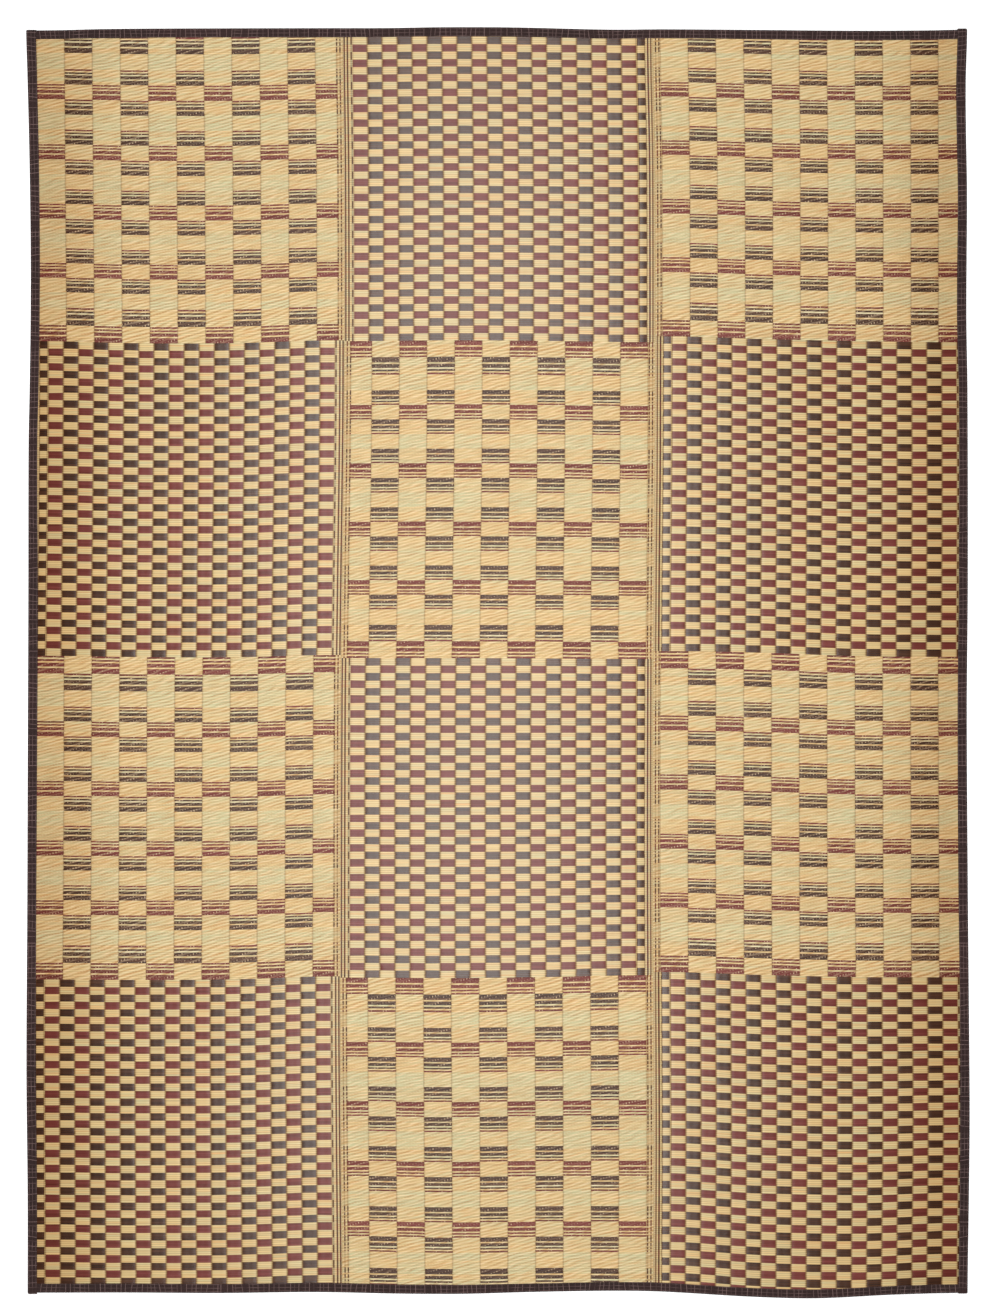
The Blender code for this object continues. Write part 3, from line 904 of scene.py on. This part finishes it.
class Nodes:
    """A material's nodes, with short calls to add and join them."""

    def __init__(self, name):
        self.material = bpy.data.materials.new(name)
        self.material.use_nodes = True
        self.tree = self.material.node_tree
        self.shader = self.tree.nodes["Principled BSDF"]

    def add(self, kind, **settings):
        """A new node with its settings."""
        node = self.tree.nodes.new("ShaderNode" + kind)
        for key, value in settings.items():
            setattr(node, key, value)
        return node

    def put(self, socket, value):
        """Join a value to an input, or set the input to a constant."""
        if isinstance(value, Value):
            self.tree.links.new(value.socket, socket)
        else:
            socket.default_value = value

    def fill(self, node, *values):
        """Put values in a node's first inputs; its first output comes back."""
        for socket, value in zip(node.inputs, values):
            self.put(socket, value)
        return Value(self, node.outputs[0])

    def math(self, operation, *values):
        """The result of a sum."""
        return self.fill(self.add("Math", operation=operation), *values)

    def vector(self, x, y, z=0.0):
        """A vector from three values."""
        return self.fill(self.add("CombineXYZ"), x, y, z)

    def mix(self, share, first, second, blend="MIX"):
        """A colour between two colours, which are a Mix node's inputs 6 and 7, its output 2."""
        node = self.add("Mix", data_type="RGBA", blend_type=blend)
        self.put(node.inputs["Factor"], share)
        self.put(node.inputs[6], first)
        self.put(node.inputs[7], second)
        return Value(self, node.outputs[2])

    def noise(self, place, scale=1.0, detail=2.0):
        """Soft noise from 0 to 1 at a place."""
        node = self.add("TexNoise")
        self.put(node.inputs["Vector"], place)
        node.inputs["Scale"].default_value = scale
        node.inputs["Detail"].default_value = detail
        return Value(self, node.outputs["Fac"])

    def attribute(self, name, output="Vector"):
        """A mesh's attribute."""
        return Value(self, self.add("Attribute", attribute_name=name).outputs[output])

    def position(self):
        """Where the surface is."""
        return Value(self, self.add("NewGeometry").outputs["Position"])

    def split(self, value, kind="SeparateXYZ"):
        """The three parts of a vector or a colour."""
        node = self.add(kind)
        self.put(node.inputs[0], value)
        return [Value(self, output) for output in node.outputs]

    def set(self, name, value):
        """Set or join one of the shader's inputs."""
        self.put(self.shader.inputs[name], value)

    def bump(self, height, strength, distance):
        """Let a height roughen the surface."""
        node = self.add("Bump")
        node.inputs["Strength"].default_value = strength
        node.inputs["Distance"].default_value = distance
        self.put(node.inputs["Height"], height)
        self.set("Normal", Value(self, node.outputs[0]))


STRAW_WARM = linear(223, 194, 136)
STRAW_GREEN = linear(204, 204, 158)
STRAW_PALE = linear(238, 228, 192)
STRAW_ORANGE = linear(222, 164, 102)
STRAW_DARK = linear(140, 98, 56)
STRAW_RUST = linear(176, 122, 70)
STRAW_SHADE = linear(112, 72, 42)
# Painted highlight: the paler straw painted on the twill's crests
STRAW_HIGHLIGHT = linear(244, 214, 170)
# Pale flecks in the dyed lines, and the painted highlight on their twill crests
LINE_FLECK_AND_HIGHLIGHT = linear(222, 194, 158)
BURGUNDY_DEEP = linear(87, 28, 28)
BURGUNDY_PALE = linear(124, 57, 56)
BLACK_DEEP = linear(37, 20, 14)
BLACK_PALE = linear(84, 53, 38)
BLACK_SMOOTHER = 0.02
RUSH_SPECULAR = 0.31
BLACK_SPECULAR = 0.44

# Noise drawn out into streaks: how often it changes per metre, its seed and its detail
Streaks = namedtuple("Streaks", "across along seed detail", defaults=(1.0,))
STEMS = Streaks(9.0, 620.0, 0.0, 2.0)
PATCHES = Streaks(6.0, 14.0, 3.0, 2.0)
WARP_WANDER = Streaks(30.0, 90.0, 5.0)
TWILL_WANDER = Streaks(14.0, 45.0, 21.0)
TWILL_BREAKS = Streaks(22.0, 160.0, 17.0)
FLECKS = Streaks(60.0, 170.0, 27.0)

# What differs between the kinds of block: the orange strands and green ones, how dark the straw
# is, how far the dyes fade, how rough the rush is and how much of its sheen shows
Look = namedtuple("Look", "strands greens darkness fade roughness sheen")
STRIPE_LOOK = Look(
    strands=Streaks(16.0, 230.0, 7.0), greens=Streaks(16.0, 190.0, 13.0),
    darkness=0.10, fade=0.55, roughness=0.46, sheen=0.65,
)
CHECK_LOOK = Look(
    strands=Streaks(3.0, 230.0, 7.0), greens=Streaks(3.0, 190.0, 13.0),
    darkness=0.14, fade=0.5, roughness=0.31, sheen=1.0,
)

# The finer weave of a striped block: warps across it and strands along it, dipping in a twill
WARP_PITCH = 8.0 * MM
STRAND_PITCH = 2.1 * MM
TWILL_REPEAT = 4.5
STEM_HEIGHT = 0.15 * MM
DIP_DEPTH = 0.25 * MM
# Smooth shading rounds each check; raised from its middle to its ends it looks flat again
CELL_SWELL = 0.5 * MM
CELL_FLAT = 0.85
# Towards its sides the rug is painted a little darker, as painted shade where the light falls off,
# with duller sheen and its twill more marked
SIDE_FALLOFF_FROM = 1.0
SIDE_FALLOFF_TO = 1.28
SIDE_SHADE_TINT = (0.76, 0.67, 0.60, 1.0)
SIDE_SHADE_ON_STRAW = 0.6
SIDE_DULL_SHEEN = 0.5


class Rush(Nodes):
    """Natural and dyed rush, from the weave's own coordinates."""

    def __init__(self, name, look):
        super().__init__(name)
        self.look = look
        self.across, self.along, self.lit = self.split(self.attribute("weave"))
        dye = self.attribute("dye", "Color")
        self.is_red, self.is_black, self.green = self.split(dye, "SeparateColor")
        self.is_dyed = (self.is_red + self.is_black).clamped()
        self.shade = self.attribute("dye", "Alpha")
        self.from_middle = self.math("ABSOLUTE", self.split(self.position())[0])
        # Towards the sides, where painted shade darkens the rush and its sheen is duller
        self.side_falloff = self.from_middle.spread(SIDE_FALLOFF_FROM, SIDE_FALLOFF_TO, smooth=True)
        self.slanted = self.across * TWILL_RISE + self.along
        self.stems = self.streaks(STEMS, self.along)

    def streaks(self, kind, line):
        """Noise drawn out across the block, with its fine side along a line."""
        place = self.vector(self.across * kind.across, line * kind.along, kind.seed)
        return self.noise(place, detail=kind.detail)

    def straw(self, line):
        """Natural rush, from warm to green, with orange strands and darker stems."""
        strands = self.streaks(self.look.strands, line)
        greens = self.streaks(self.look.greens, line)
        patches = self.streaks(PATCHES, self.along)
        greenness = self.green + patches.spread(0.3, 0.7, -0.2, 0.2)
        greenness = (greenness + greens.spread(0.3, 0.7, -0.25, 0.25)).clamped()
        straw = self.mix(greenness, STRAW_WARM, STRAW_GREEN)
        straw = self.mix(self.green.spread(1.0, 2.0), straw, STRAW_PALE)
        blush = strands.spread(0.54, 0.74, 0.0, 0.65)
        if self.look is STRIPE_LOOK:
            blush = blush * greenness.spread(0.2, 0.9, 1.0, 0.35)
        straw = self.mix(blush, straw, STRAW_ORANGE)
        tone = self.stems.spread(0.25, 0.75, -0.16, 0.16) + self.shade.spread(0.0, 1.0, -0.16, 0.16)
        return self.mix((tone + self.look.darkness).clamped(), straw, STRAW_DARK)

    def dyed(self, straw):
        """The straw where no dye is, and red or black dye that fades on some stems."""
        fade = self.stems.spread(0.3, 0.7) + self.shade.spread(0.2, 0.8, -0.1, 1.1)
        fade = (fade * self.look.fade).clamped()
        red = self.mix(fade, BURGUNDY_DEEP, BURGUNDY_PALE)
        black = self.mix(fade * fade, BLACK_DEEP, BLACK_PALE)
        return self.mix(self.is_black, self.mix(self.is_red, straw, red), black)

    def twilled(self, colour, height):
        """Colour and height with dipping strands, twill lines, flecks on the dyes and a painted
        highlight on the crests.
        """
        wander = self.streaks(WARP_WANDER, self.along).spread(0.0, 1.0, -0.35, 0.35)
        warp = self.across * (1 / WARP_PITCH) + wander
        strand = self.along * (1 / STRAND_PITCH)
        order = self.math("FLOOR", warp) + self.math("FLOOR", strand)
        turn = self.math("FRACT", order * (1 / TWILL_REPEAT))
        dips = self.math("LESS_THAN", turn, 1 / TWILL_REPEAT)
        arch = self.math("PINGPONG", warp, 0.5)
        wander = self.streaks(TWILL_WANDER, self.along).spread(0.2, 0.8, -0.45, 0.45)
        wave = self.math("COSINE", (self.slanted * (1 / TWILL_PITCH) + wander) * (2 * pi))
        line = wave.spread(0.3, 0.95, smooth=True)
        breaks = self.streaks(TWILL_BREAKS, self.slanted)
        dip = (line * 0.65 + dips * arch.spread(0.0, 0.22) * 0.5).clamped()
        dip = dip * breaks.spread(0.36, 0.56, 0.25, 1.0)
        # Painted highlight: the twill's crests are painted paler
        crest_highlight = wave.spread(-0.95, 0.0, 0.6, 0.0, smooth=True) * breaks.spread(0.4, 0.6, 1.0, 0.3)
        on_straw = self.mix(crest_highlight, colour, STRAW_HIGHLIGHT)
        # The rust twill lines are painted darker towards the sides: painted shade of their relief
        twill_rust_and_side_shade = dip * self.from_middle.spread(0.3, 1.2, 0.6, 0.7)
        on_straw = self.mix(twill_rust_and_side_shade, on_straw, STRAW_RUST)
        chance = self.streaks(FLECKS, self.along).spread(0.42, 0.62, 0.15, 0.75)
        fleck_and_highlight = dips * arch.spread(0.24, 0.46, smooth=True) * chance
        # On the dyes, real flecks plus the crests' painted highlight, stronger towards the sides
        fleck_and_highlight = fleck_and_highlight + crest_highlight * self.from_middle.spread(0.2, 1.1, 0.2, 0.5)
        on_dye = self.mix(fleck_and_highlight, colour, LINE_FLECK_AND_HIGHLIGHT)
        return self.mix(self.is_dyed, on_straw, on_dye), dip * -DIP_DEPTH + height

    def checked(self, colour, height):
        """Colour and height with each check swollen and shaded towards its ends."""
        cell = self.across * (1 / (CHECK_WIDTH * MM)) + -CHECK_START / CHECK_WIDTH
        off_middle = self.math("ABSOLUTE", self.math("FRACT", cell) * 2.0 + -1.0)
        swell = off_middle.spread(0.0, CELL_FLAT, 0.0, CELL_SWELL, smooth=True)
        near_end = off_middle.spread(0.7, 1.0, 0.0, 0.2, smooth=True)
        colour = self.mix(near_end, colour, STRAW_SHADE)
        at_end = off_middle.spread(0.91, 0.97, 0.0, 0.6)
        return self.mix(at_end, colour, STRAW_WARM), height + swell

    def finish(self, colour, height):
        """Shade the hollows, paint shade towards the sides, and set the sheen and the bump."""
        sunk = self.math("SUBTRACT", 1.0, self.lit).clamped()
        colour = self.mix(sunk * 0.8, colour, STRAW_SHADE)
        hollow = self.lit.spread(0.0, 1.0, 0.6, 1.0)
        colour = self.mix(1.0, colour, self.vector(hollow, hollow, hollow), blend="MULTIPLY")
        # Painted shade: the colour darkens towards the rug's sides, where the light falls off
        side_shade_share = self.side_falloff * self.is_dyed.spread(0.0, 1.0, SIDE_SHADE_ON_STRAW, 1.0)
        self.set("Base Color", self.mix(side_shade_share, colour, SIDE_SHADE_TINT, blend="MULTIPLY"))
        mean = self.look.roughness
        rough = self.stems.spread(0.2, 0.8, mean - 0.04, mean + 0.05)
        self.set("Roughness", self.is_black * -BLACK_SMOOTHER + rough)
        gloss = self.is_black * (BLACK_SPECULAR - RUSH_SPECULAR) + RUSH_SPECULAR
        gloss = gloss * self.side_falloff.spread(0.0, 1.0, 1.0, SIDE_DULL_SHEEN)
        gloss = gloss * self.lit.spread(0.3, 1.0, 0.1, self.look.sheen)
        self.set("Specular IOR Level", gloss)
        self.bump(height, 1.0, 1.0)
        return self.material


def stripe_material():
    """Rush of the striped blocks, with its twill."""
    rush = Rush("rush_stripes", STRIPE_LOOK)
    colour = rush.dyed(rush.straw(rush.slanted))
    return rush.finish(*rush.twilled(colour, rush.stems * STEM_HEIGHT))


def check_material():
    """Rush of the checked blocks."""
    rush = Rush("rush_checks", CHECK_LOOK)
    colour = rush.dyed(rush.straw(rush.along))
    return rush.finish(*rush.checked(colour, rush.stems * STEM_HEIGHT))


def build_rush():
    """The three strips, block by block."""
    materials = {"A": stripe_material(), "B": check_material()}
    for strip in STRIPS:
        for number in range(len(strip.kinds)):
            build_block(strip, number, materials)


def tape_profile(width, along, rng):
    """The folded tape's ring of points at each station, as distances inward and heights."""
    count = len(width)

    def level(value):
        return np.full(count, value)

    stitch = width - STITCH_INWARD
    inward = [width]
    height = [level(0.0)]
    for angle in pi * (1.5 - np.arange(FOLD_STEPS + 1) / FOLD_STEPS):
        inward.append(level(FOLD_RADIUS * (1 + np.cos(angle))))
        height.append(level(TAPE_HEIGHT / 2 * (1 + np.sin(angle))))
    coarse = (count // STATIONS_PER_TAPE_WAVE, 3)
    wave = smooth_noise(rng, (count, TOP_STEPS), coarse, TAPE_WAVE)
    for step in range(1, TOP_STEPS):
        share = step / TOP_STEPS
        inward.append(FOLD_RADIUS + (stitch - STITCH_HALF - FOLD_RADIUS) * share)
        height.append(TAPE_HEIGHT - TAPE_WAVE + np.clip(wave[:, step], -TAPE_WAVE, TAPE_WAVE))
    pucker = PUCKER_DEPTH * (0.5 + 0.5 * np.cos(2 * pi * along / STITCH_PITCH))
    coarse = (count // STATIONS_PER_HEM_WAVE, 2)
    hem_wave = smooth_noise(rng, (count, 2), coarse, HEM_WAVE)[:, 0]
    hem = width + np.clip(hem_wave, -HEM_WAVE, 0.0)
    inward += [stitch - STITCH_HALF, stitch, stitch + STITCH_HALF, hem]
    height += [
        level(TAPE_HEIGHT),
        TAPE_HEIGHT - STITCH_DEPTH - pucker,
        TAPE_HEIGHT - pucker / 3,
        level(TAPE_HEIGHT - HEM_DROP),
    ]
    outside_count = len(inward)
    inward += [width, level(TAPE_INSIDE), level(TAPE_INSIDE), width]
    upper = TAPE_HEIGHT - TAPE_LAYER
    height += [level(upper), level(upper), level(TAPE_LAYER), level(TAPE_LAYER)]
    return np.stack(inward, axis=1), np.stack(height, axis=1), outside_count


def tape_length(tape):
    """The length of the box's side that a tape follows."""
    return RUG_LENGTH if tape.is_side else RUG_WIDTH


def tape_width(tape, place):
    """A tape's width at places along it."""
    return read(tape.rows, "width", from_far(place) if tape.is_side else from_left(place)) * MM


def tape_stations(tape):
    """Stations of a tape as shares of its length, with each one's draw-in and drop."""
    length = tape_length(tape)
    even = np.linspace(0.0, 1.0, round(length / STATION_STEP) + 1)
    if not tape.is_side:
        return even, np.zeros(len(even)), np.zeros(len(even))
    ends = []
    for end in ("near", "far"):
        stands_out = CORNER_STANDS_OUT[tape.name, end]
        ends.append((np.array(TUCK_SHARES) * (stands_out + TAPE_INSIDE) - stands_out) / length)
    still = np.zeros(len(even) - 2)
    shares = np.concatenate([ends[0], even[1:-1], 1.0 - ends[1][::-1]])
    draw_in = np.concatenate([TUCK_DRAW_IN, still, TUCK_DRAW_IN[::-1]])
    drop = np.concatenate([TUCK_DROP, still, TUCK_DROP[::-1]])
    return shares, draw_in, drop


def tape_points(tape, rng):
    """A tape's points, station by station, and their coordinates along and round the cloth."""
    shares, draw_in, drop = tape_stations(tape)
    place = (2 * shares - 1) * (tape_length(tape) / 2)
    width = tape_width(tape, place)
    inward, height, outside_count = tape_profile(width, place, rng)
    inward = width[:, None] - (width[:, None] - inward) * (1 - draw_in / width)[:, None]
    height = height * (1 - drop / TAPE_HEIGHT)[:, None]
    t = shares[:, None] + np.zeros_like(inward)

    def edge(other):
        return tape.line(other) + tape.sign * inward

    def station(other):
        return tape.low(other) + (tape.high(other) - tape.low(other)) * t

    x, y = settle(edge, station, inward) if tape.is_side else settle(station, edge, inward)
    steps = np.hypot(np.diff(inward, axis=1), np.diff(height, axis=1))
    girth = np.concatenate([np.zeros((len(shares), 1)), np.cumsum(steps, axis=1)], axis=1)
    girth = girth - girth[:, 1 + FOLD_STEPS // 2, None]
    along = place[:, None] + np.zeros_like(inward)
    return np.stack([x, y, height], axis=-1), along, girth, outside_count


def spaced(row):
    """Equal places from 0 to 1 along a row of vertices."""
    return np.linspace(0, 1, len(row))


def tucked_end(outside, core, first, end, step):
    """Faces that close a side tape's end, from the channel's end to the tape's last ring."""
    beyond = outside[first + step:][:, [-1, 0]] if step > 0 else outside[end:first][::-1, [-1, 0]]
    channel = [outside[first, -1], core[0], core[-1], outside[first, 0]]
    hems = zipper(channel, beyond[0], CHANNEL_PLACES, (0.0, 1.0))
    middle = outside.shape[1] // 2
    lower = outside[end][:middle + 1]
    upper = outside[end][:middle - 1:-1]
    cap = zipper(lower, upper, spaced(lower), spaced(upper))
    triangles = hems + turned_over(cap) if step > 0 else turned_over(hems) + cap
    return [core[None, ::step], grid_faces(beyond, flip=step < 0)], triangles


def turned_over(faces):
    """Faces with their corners the other way round."""
    return [face[::-1] for face in faces]


def tape_faces(tape, index, outside_count):
    """Quads and triangles of a tape: its outside, its channel and its closed ends."""
    outside = index[:, :outside_count]
    cores = index[:, outside_count:]
    channel = np.column_stack([outside[:, -1], cores, outside[:, 0]])
    first = len(TUCK_SHARES) - 1 if tape.is_side else 0
    last = len(index) - 1 - first
    quads = [grid_faces(outside), grid_faces(channel[first:last + 1])]
    triangles = []
    for i, end, step in ((first, 0, -1), (last, len(index) - 1, 1)):
        if tape.is_side:
            end_quads, end_triangles = tucked_end(outside, cores[i], i, end, step)
            quads += end_quads
            triangles += end_triangles
        else:
            core = cores[i][::-1]
            cap = zipper(outside[i], core, spaced(outside[i]), spaced(core))
            triangles += cap if step < 0 else turned_over(cap)
    triangles = [face for face in triangles if len(set(face)) == 3]
    return np.concatenate(quads), np.array(triangles)


def build_tape(tape, number, material):
    """A folded tape round one edge: a closed channel, its ends closed round the corners."""
    rng = np.random.default_rng(TAPE_SEED + number)
    points, along, girth, outside_count = tape_points(tape, rng)
    index = np.arange(along.size).reshape(along.shape)
    faces = tape_faces(tape, index, outside_count)
    piece = new_mesh(f"tape_{tape.name}", points.reshape(-1, 3), *faces)
    mesh = piece.data
    face_outward(mesh)
    values = np.stack([along, girth, np.zeros_like(girth)], axis=-1)
    set_attribute(mesh, "tape", values, "FLOAT_VECTOR", "POINT")
    tape_map(mesh, girth)
    mesh.set_sharp_from_angle(angle=SHARP_TAPE)
    mesh.materials.append(material)
    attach(piece, "root")
    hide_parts(f"binding_{tape.name}")
    return piece, float(np.ptp(along))


def tape_map(mesh, girth):
    """The tape's bake map: its length in segments that lie one above another."""
    stations, ring = girth.shape
    corners = whole_numbers(mesh.loops, "vertex_index")
    starts = whole_numbers(mesh.polygons, "loop_start")
    sizes = whole_numbers(mesh.polygons, "loop_total")
    station = corners // ring
    lowest = np.repeat(np.minimum.reduceat(station, starts), sizes)
    per_segment = -(-(stations - 1) // MAP_SEGMENTS)
    segment = lowest // per_segment
    u = (station - segment * per_segment) / per_segment
    v = (girth.ravel()[corners] - girth.min()) / np.ptp(girth)
    # Round the ring's last side the faces join its last point to its first
    profile = corners % ring
    highest = np.repeat(np.maximum.reduceat(profile, starts), sizes)
    v = np.where((highest == ring - 1) & (profile == 0), 1.0, v)
    v = (segment + np.interp(v, (0, 1), GIRTH_MAP)) / MAP_SEGMENTS
    set_map(mesh, np.interp(u, (0, 1), SEGMENT_MAP), v)


def thread_marks(name, centres, directions, length, width, material):
    """Short raised stitches: each a small domed leaf at a place, along a direction."""
    directions = directions / np.hypot(*directions.T)[:, None]
    side = np.stack([-directions[:, 1], directions[:, 0], np.zeros(len(centres))], axis=-1)
    ahead = np.concatenate([directions, np.zeros((len(centres), 1))], axis=-1)
    up = np.array((0.0, 0.0, 1.0))
    points = np.stack([
        centres + ahead * length * a + side * width * b + up * THREAD_RISE * c
        for a, b, c in STITCH_SHAPE
    ], axis=1)
    start = len(STITCH_SHAPE) * np.arange(len(centres))[:, None, None]
    piece = new_mesh(
        name,
        points.reshape(-1, 3),
        (start + np.array(STITCH_QUADS)).reshape(-1, 4),
        (start + np.array(STITCH_TRIANGLES)).reshape(-1, 3),
    )
    piece.data.materials.append(material)
    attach(piece, "root")
    return piece


def build_hem_stitches(tape, number, material):
    """The row of sewing along a tape's hem."""
    rng = np.random.default_rng(STITCH_SEED + number)
    reach = tape_length(tape) / 2 - (SIDE_ROW_CLEAR if tape.is_side else END_ROW_CLEAR)
    count = int(2 * reach / STITCH_PITCH)
    place = (np.arange(count) - count // 2) * STITCH_PITCH + STITCH_PITCH / 2
    inward = tape_width(tape, place) - STITCH_INWARD + rng.normal(0.0, STITCH_JITTER, count)
    across = tape.line(place) + tape.sign * inward
    slope = (tape.line(place + STITCH_PITCH) - tape.line(place)) / STITCH_PITCH
    lean = slope + rng.normal(0.0, STITCH_LEAN, count)
    ahead = np.ones(count)
    x, y = (across, place) if tape.is_side else (place, across)
    centres = np.stack([x, y, np.full(count, TAPE_HEIGHT - STITCH_DEPTH)], axis=-1)
    directions = np.stack((lean, ahead) if tape.is_side else (ahead, lean), axis=-1)
    is_on_tape = place > tape.low(across) + STITCH_CLEAR
    is_on_tape &= place < tape.high(across) - STITCH_CLEAR
    return thread_marks(
        f"tape_{tape.name}_stitches", centres[is_on_tape], directions[is_on_tape],
        STITCH_LENGTH, STITCH_WIDTH, material,
    )


def build_lacing(name, line, material, number):
    """The sewing that joins two strips, selvage to selvage."""
    rng = np.random.default_rng(LACE_SEED + number)
    middle = line(0.0) + np.zeros(1)
    far = float(far_hem(middle)[0])
    near = float(near_hem(middle)[0])
    y = np.arange(near + LACE_PITCH, far - LACE_PITCH / 2, LACE_PITCH)
    count = len(y)
    x = line(y) + rng.normal(0.0, LACE_JITTER[0], count)
    y = y + rng.normal(0.0, LACE_JITTER[1], count)
    centres = np.stack([x, y, np.full(count, JOINT_TOP)], axis=-1)
    directions = np.stack([np.ones(count), rng.normal(*LACE_LEAN, count)], axis=-1)
    thread_marks(name, centres, directions, 2 * LACE_REACH, LACE_WIDTH, material)


THREAD_BROWN = linear(58, 44, 44)
THREAD_PALE = linear(205, 180, 130)
THREAD_DIRT = (0.02, 0.015, 0.012, 1.0)
TAPE_BROWN = linear(43, 28, 27)
TAPE_BLACK = linear(33, 22, 21)
TAPE_THREAD = linear(172, 142, 138)
CROSS_PITCH = 14.5 * MM
LONG_PITCH = 8.5 * MM
THREAD_HALF = 1.1 * MM
CROSS_WANDER = 0.6 * MM
LONG_WANDER = 1.5 * MM
PALER = 0.6


def thread_material(name, colour):
    """Twisted sewing thread."""
    nodes = Nodes(name)
    fuzz = nodes.noise(nodes.position(), scale=900.0, detail=1.0)
    nodes.set("Base Color", nodes.mix(fuzz.spread(0.3, 0.7, 0.0, 0.45), colour, THREAD_DIRT))
    nodes.set("Roughness", 0.8)
    return nodes.material


def tape_material():
    """Dark brown cloth with fine paler threads across and along it."""
    nodes = Nodes("binding_cloth")
    along, girth, _ = nodes.split(nodes.attribute("tape"))

    def long_noise(per_metre, seed, detail=2.0):
        """Noise that changes only along the tape."""
        return nodes.noise(nodes.vector(along * per_metre, seed), detail=detail)

    def cloth_noise(per_metre_along, per_metre_round, seed=0.0, detail=2.0):
        """Noise that changes along the tape and round it."""
        place = nodes.vector(along * per_metre_along, girth * per_metre_round, seed)
        return nodes.noise(place, detail=detail)

    def threads(place, pitch, uneven):
        """Paler threads at a pitch, from 0 between them to 1 on them."""
        cells = nodes.add("TexVoronoi", voronoi_dimensions="1D", feature="DISTANCE_TO_EDGE")
        nodes.put(cells.inputs["W"], place * (1 / pitch))
        cells.inputs["Scale"].default_value = 1.0
        cells.inputs["Randomness"].default_value = uneven
        distance = Value(nodes, cells.outputs["Distance"])
        return distance.spread(0.0, THREAD_HALF / pitch, 1.0, 0.0, smooth=True)

    lean = long_noise(9.0, 4.0).spread(0.3, 0.7, -0.22, 0.22)
    wander = cloth_noise(40.0, 160.0).spread(0.0, 1.0, -CROSS_WANDER, CROSS_WANDER)
    crosswise = threads(along + girth * lean + wander, CROSS_PITCH, 1.0)
    crosswise = crosswise * long_noise(70.0, 9.0, detail=0.0).spread(0.35, 0.62, 0.25, 1.0)
    crosswise = crosswise * cloth_noise(60.0, 420.0, 2.0).spread(0.3, 0.6, 0.35, 1.0)
    drift = long_noise(5.0, 6.0).spread(0.3, 0.7, -LONG_WANDER, LONG_WANDER)
    lengthwise = threads(girth + drift, LONG_PITCH, 0.6)
    lengthwise = lengthwise * long_noise(24.0, 11.0, detail=1.0).spread(0.4, 0.65, 0.05, 0.6)
    paler = nodes.math("MAXIMUM", crosswise, lengthwise) * PALER

    fine = cloth_noise(900.0, 900.0, detail=1.0)
    tint = long_noise(3.0, 1.0, detail=1.0).spread(0.35, 0.65)
    ground = nodes.mix(tint, TAPE_BROWN, TAPE_BLACK)
    ground = nodes.mix(fine.spread(0.45, 0.75, 0.0, 0.10), ground, TAPE_THREAD)
    nodes.set("Base Color", nodes.mix(paler, ground, TAPE_THREAD))
    nodes.set("Roughness", 0.9)
    nodes.set("Specular IOR Level", 0.15)
    nodes.bump(paler + fine, 0.5, 0.25 * MM)
    return nodes.material


def build_binding():
    """The four tapes with their sewing, and the lacing of the two joints."""
    cloth = tape_material()
    brown = thread_material("binding_thread", THREAD_BROWN)
    pale = thread_material("lacing_thread", THREAD_PALE)
    for number, tape in enumerate(TAPES):
        piece, length = build_tape(tape, number, cloth)
        stitches = build_hem_stitches(tape, number, brown)
    build_lacing("joint_lacing_left", left_joint_line, pale, 0)
    build_lacing("joint_lacing_right", right_joint_line, pale, 1)


def floor_material():
    """Plain pale floor."""
    nodes = Nodes("pale_floor")
    nodes.set("Base Color", FLOOR_COLOUR)
    nodes.set("Roughness", 0.9)
    nodes.set("Emission Color", WHITE)
    nodes.set("Emission Strength", FLOOR_GLOW)
    return nodes.material


def build_stage():
    """Floor, soft light and camera."""
    scene = bpy.context.scene
    mesh = bpy.data.meshes.new("floor")
    corners = [(x * FLOOR_HALF, y * FLOOR_HALF, 0) for x, y in ((-1, -1), (1, -1), (1, 1), (-1, 1))]
    mesh.from_pydata(corners, [], [(0, 1, 2, 3)])
    floor = bpy.data.objects.new("floor", mesh)
    floor.location.z = -FLOOR_DROP
    floor.data.materials.append(floor_material())
    scene.collection.objects.link(floor)

    world = bpy.data.worlds.new("studio")
    world.use_nodes = True
    world.node_tree.nodes["Background"].inputs["Color"].default_value = WHITE
    world.node_tree.nodes["Background"].inputs["Strength"].default_value = WORLD_LIGHT
    scene.world = world

    light = bpy.data.lights.new("overhead", "AREA")
    light.shape = "RECTANGLE"
    light.size, light.size_y = LAMP_SIZE
    light.energy = LAMP_WATTS
    lamp = bpy.data.objects.new("overhead", light)
    lamp.location = LAMP_PLACE
    scene.collection.objects.link(lamp)

    camera_data = bpy.data.cameras.new("camera")
    camera_data.sensor_width = SENSOR
    camera_data.lens = SENSOR * CAMERA_HEIGHT / FRAME_HEIGHT
    camera = bpy.data.objects.new("camera", camera_data)
    camera.location = (*CAMERA_PLACE, CAMERA_HEIGHT)
    scene.collection.objects.link(camera)
    scene.camera = camera
    scene.view_settings.view_transform = "Standard"


build_rush()
build_binding()
build_stage()
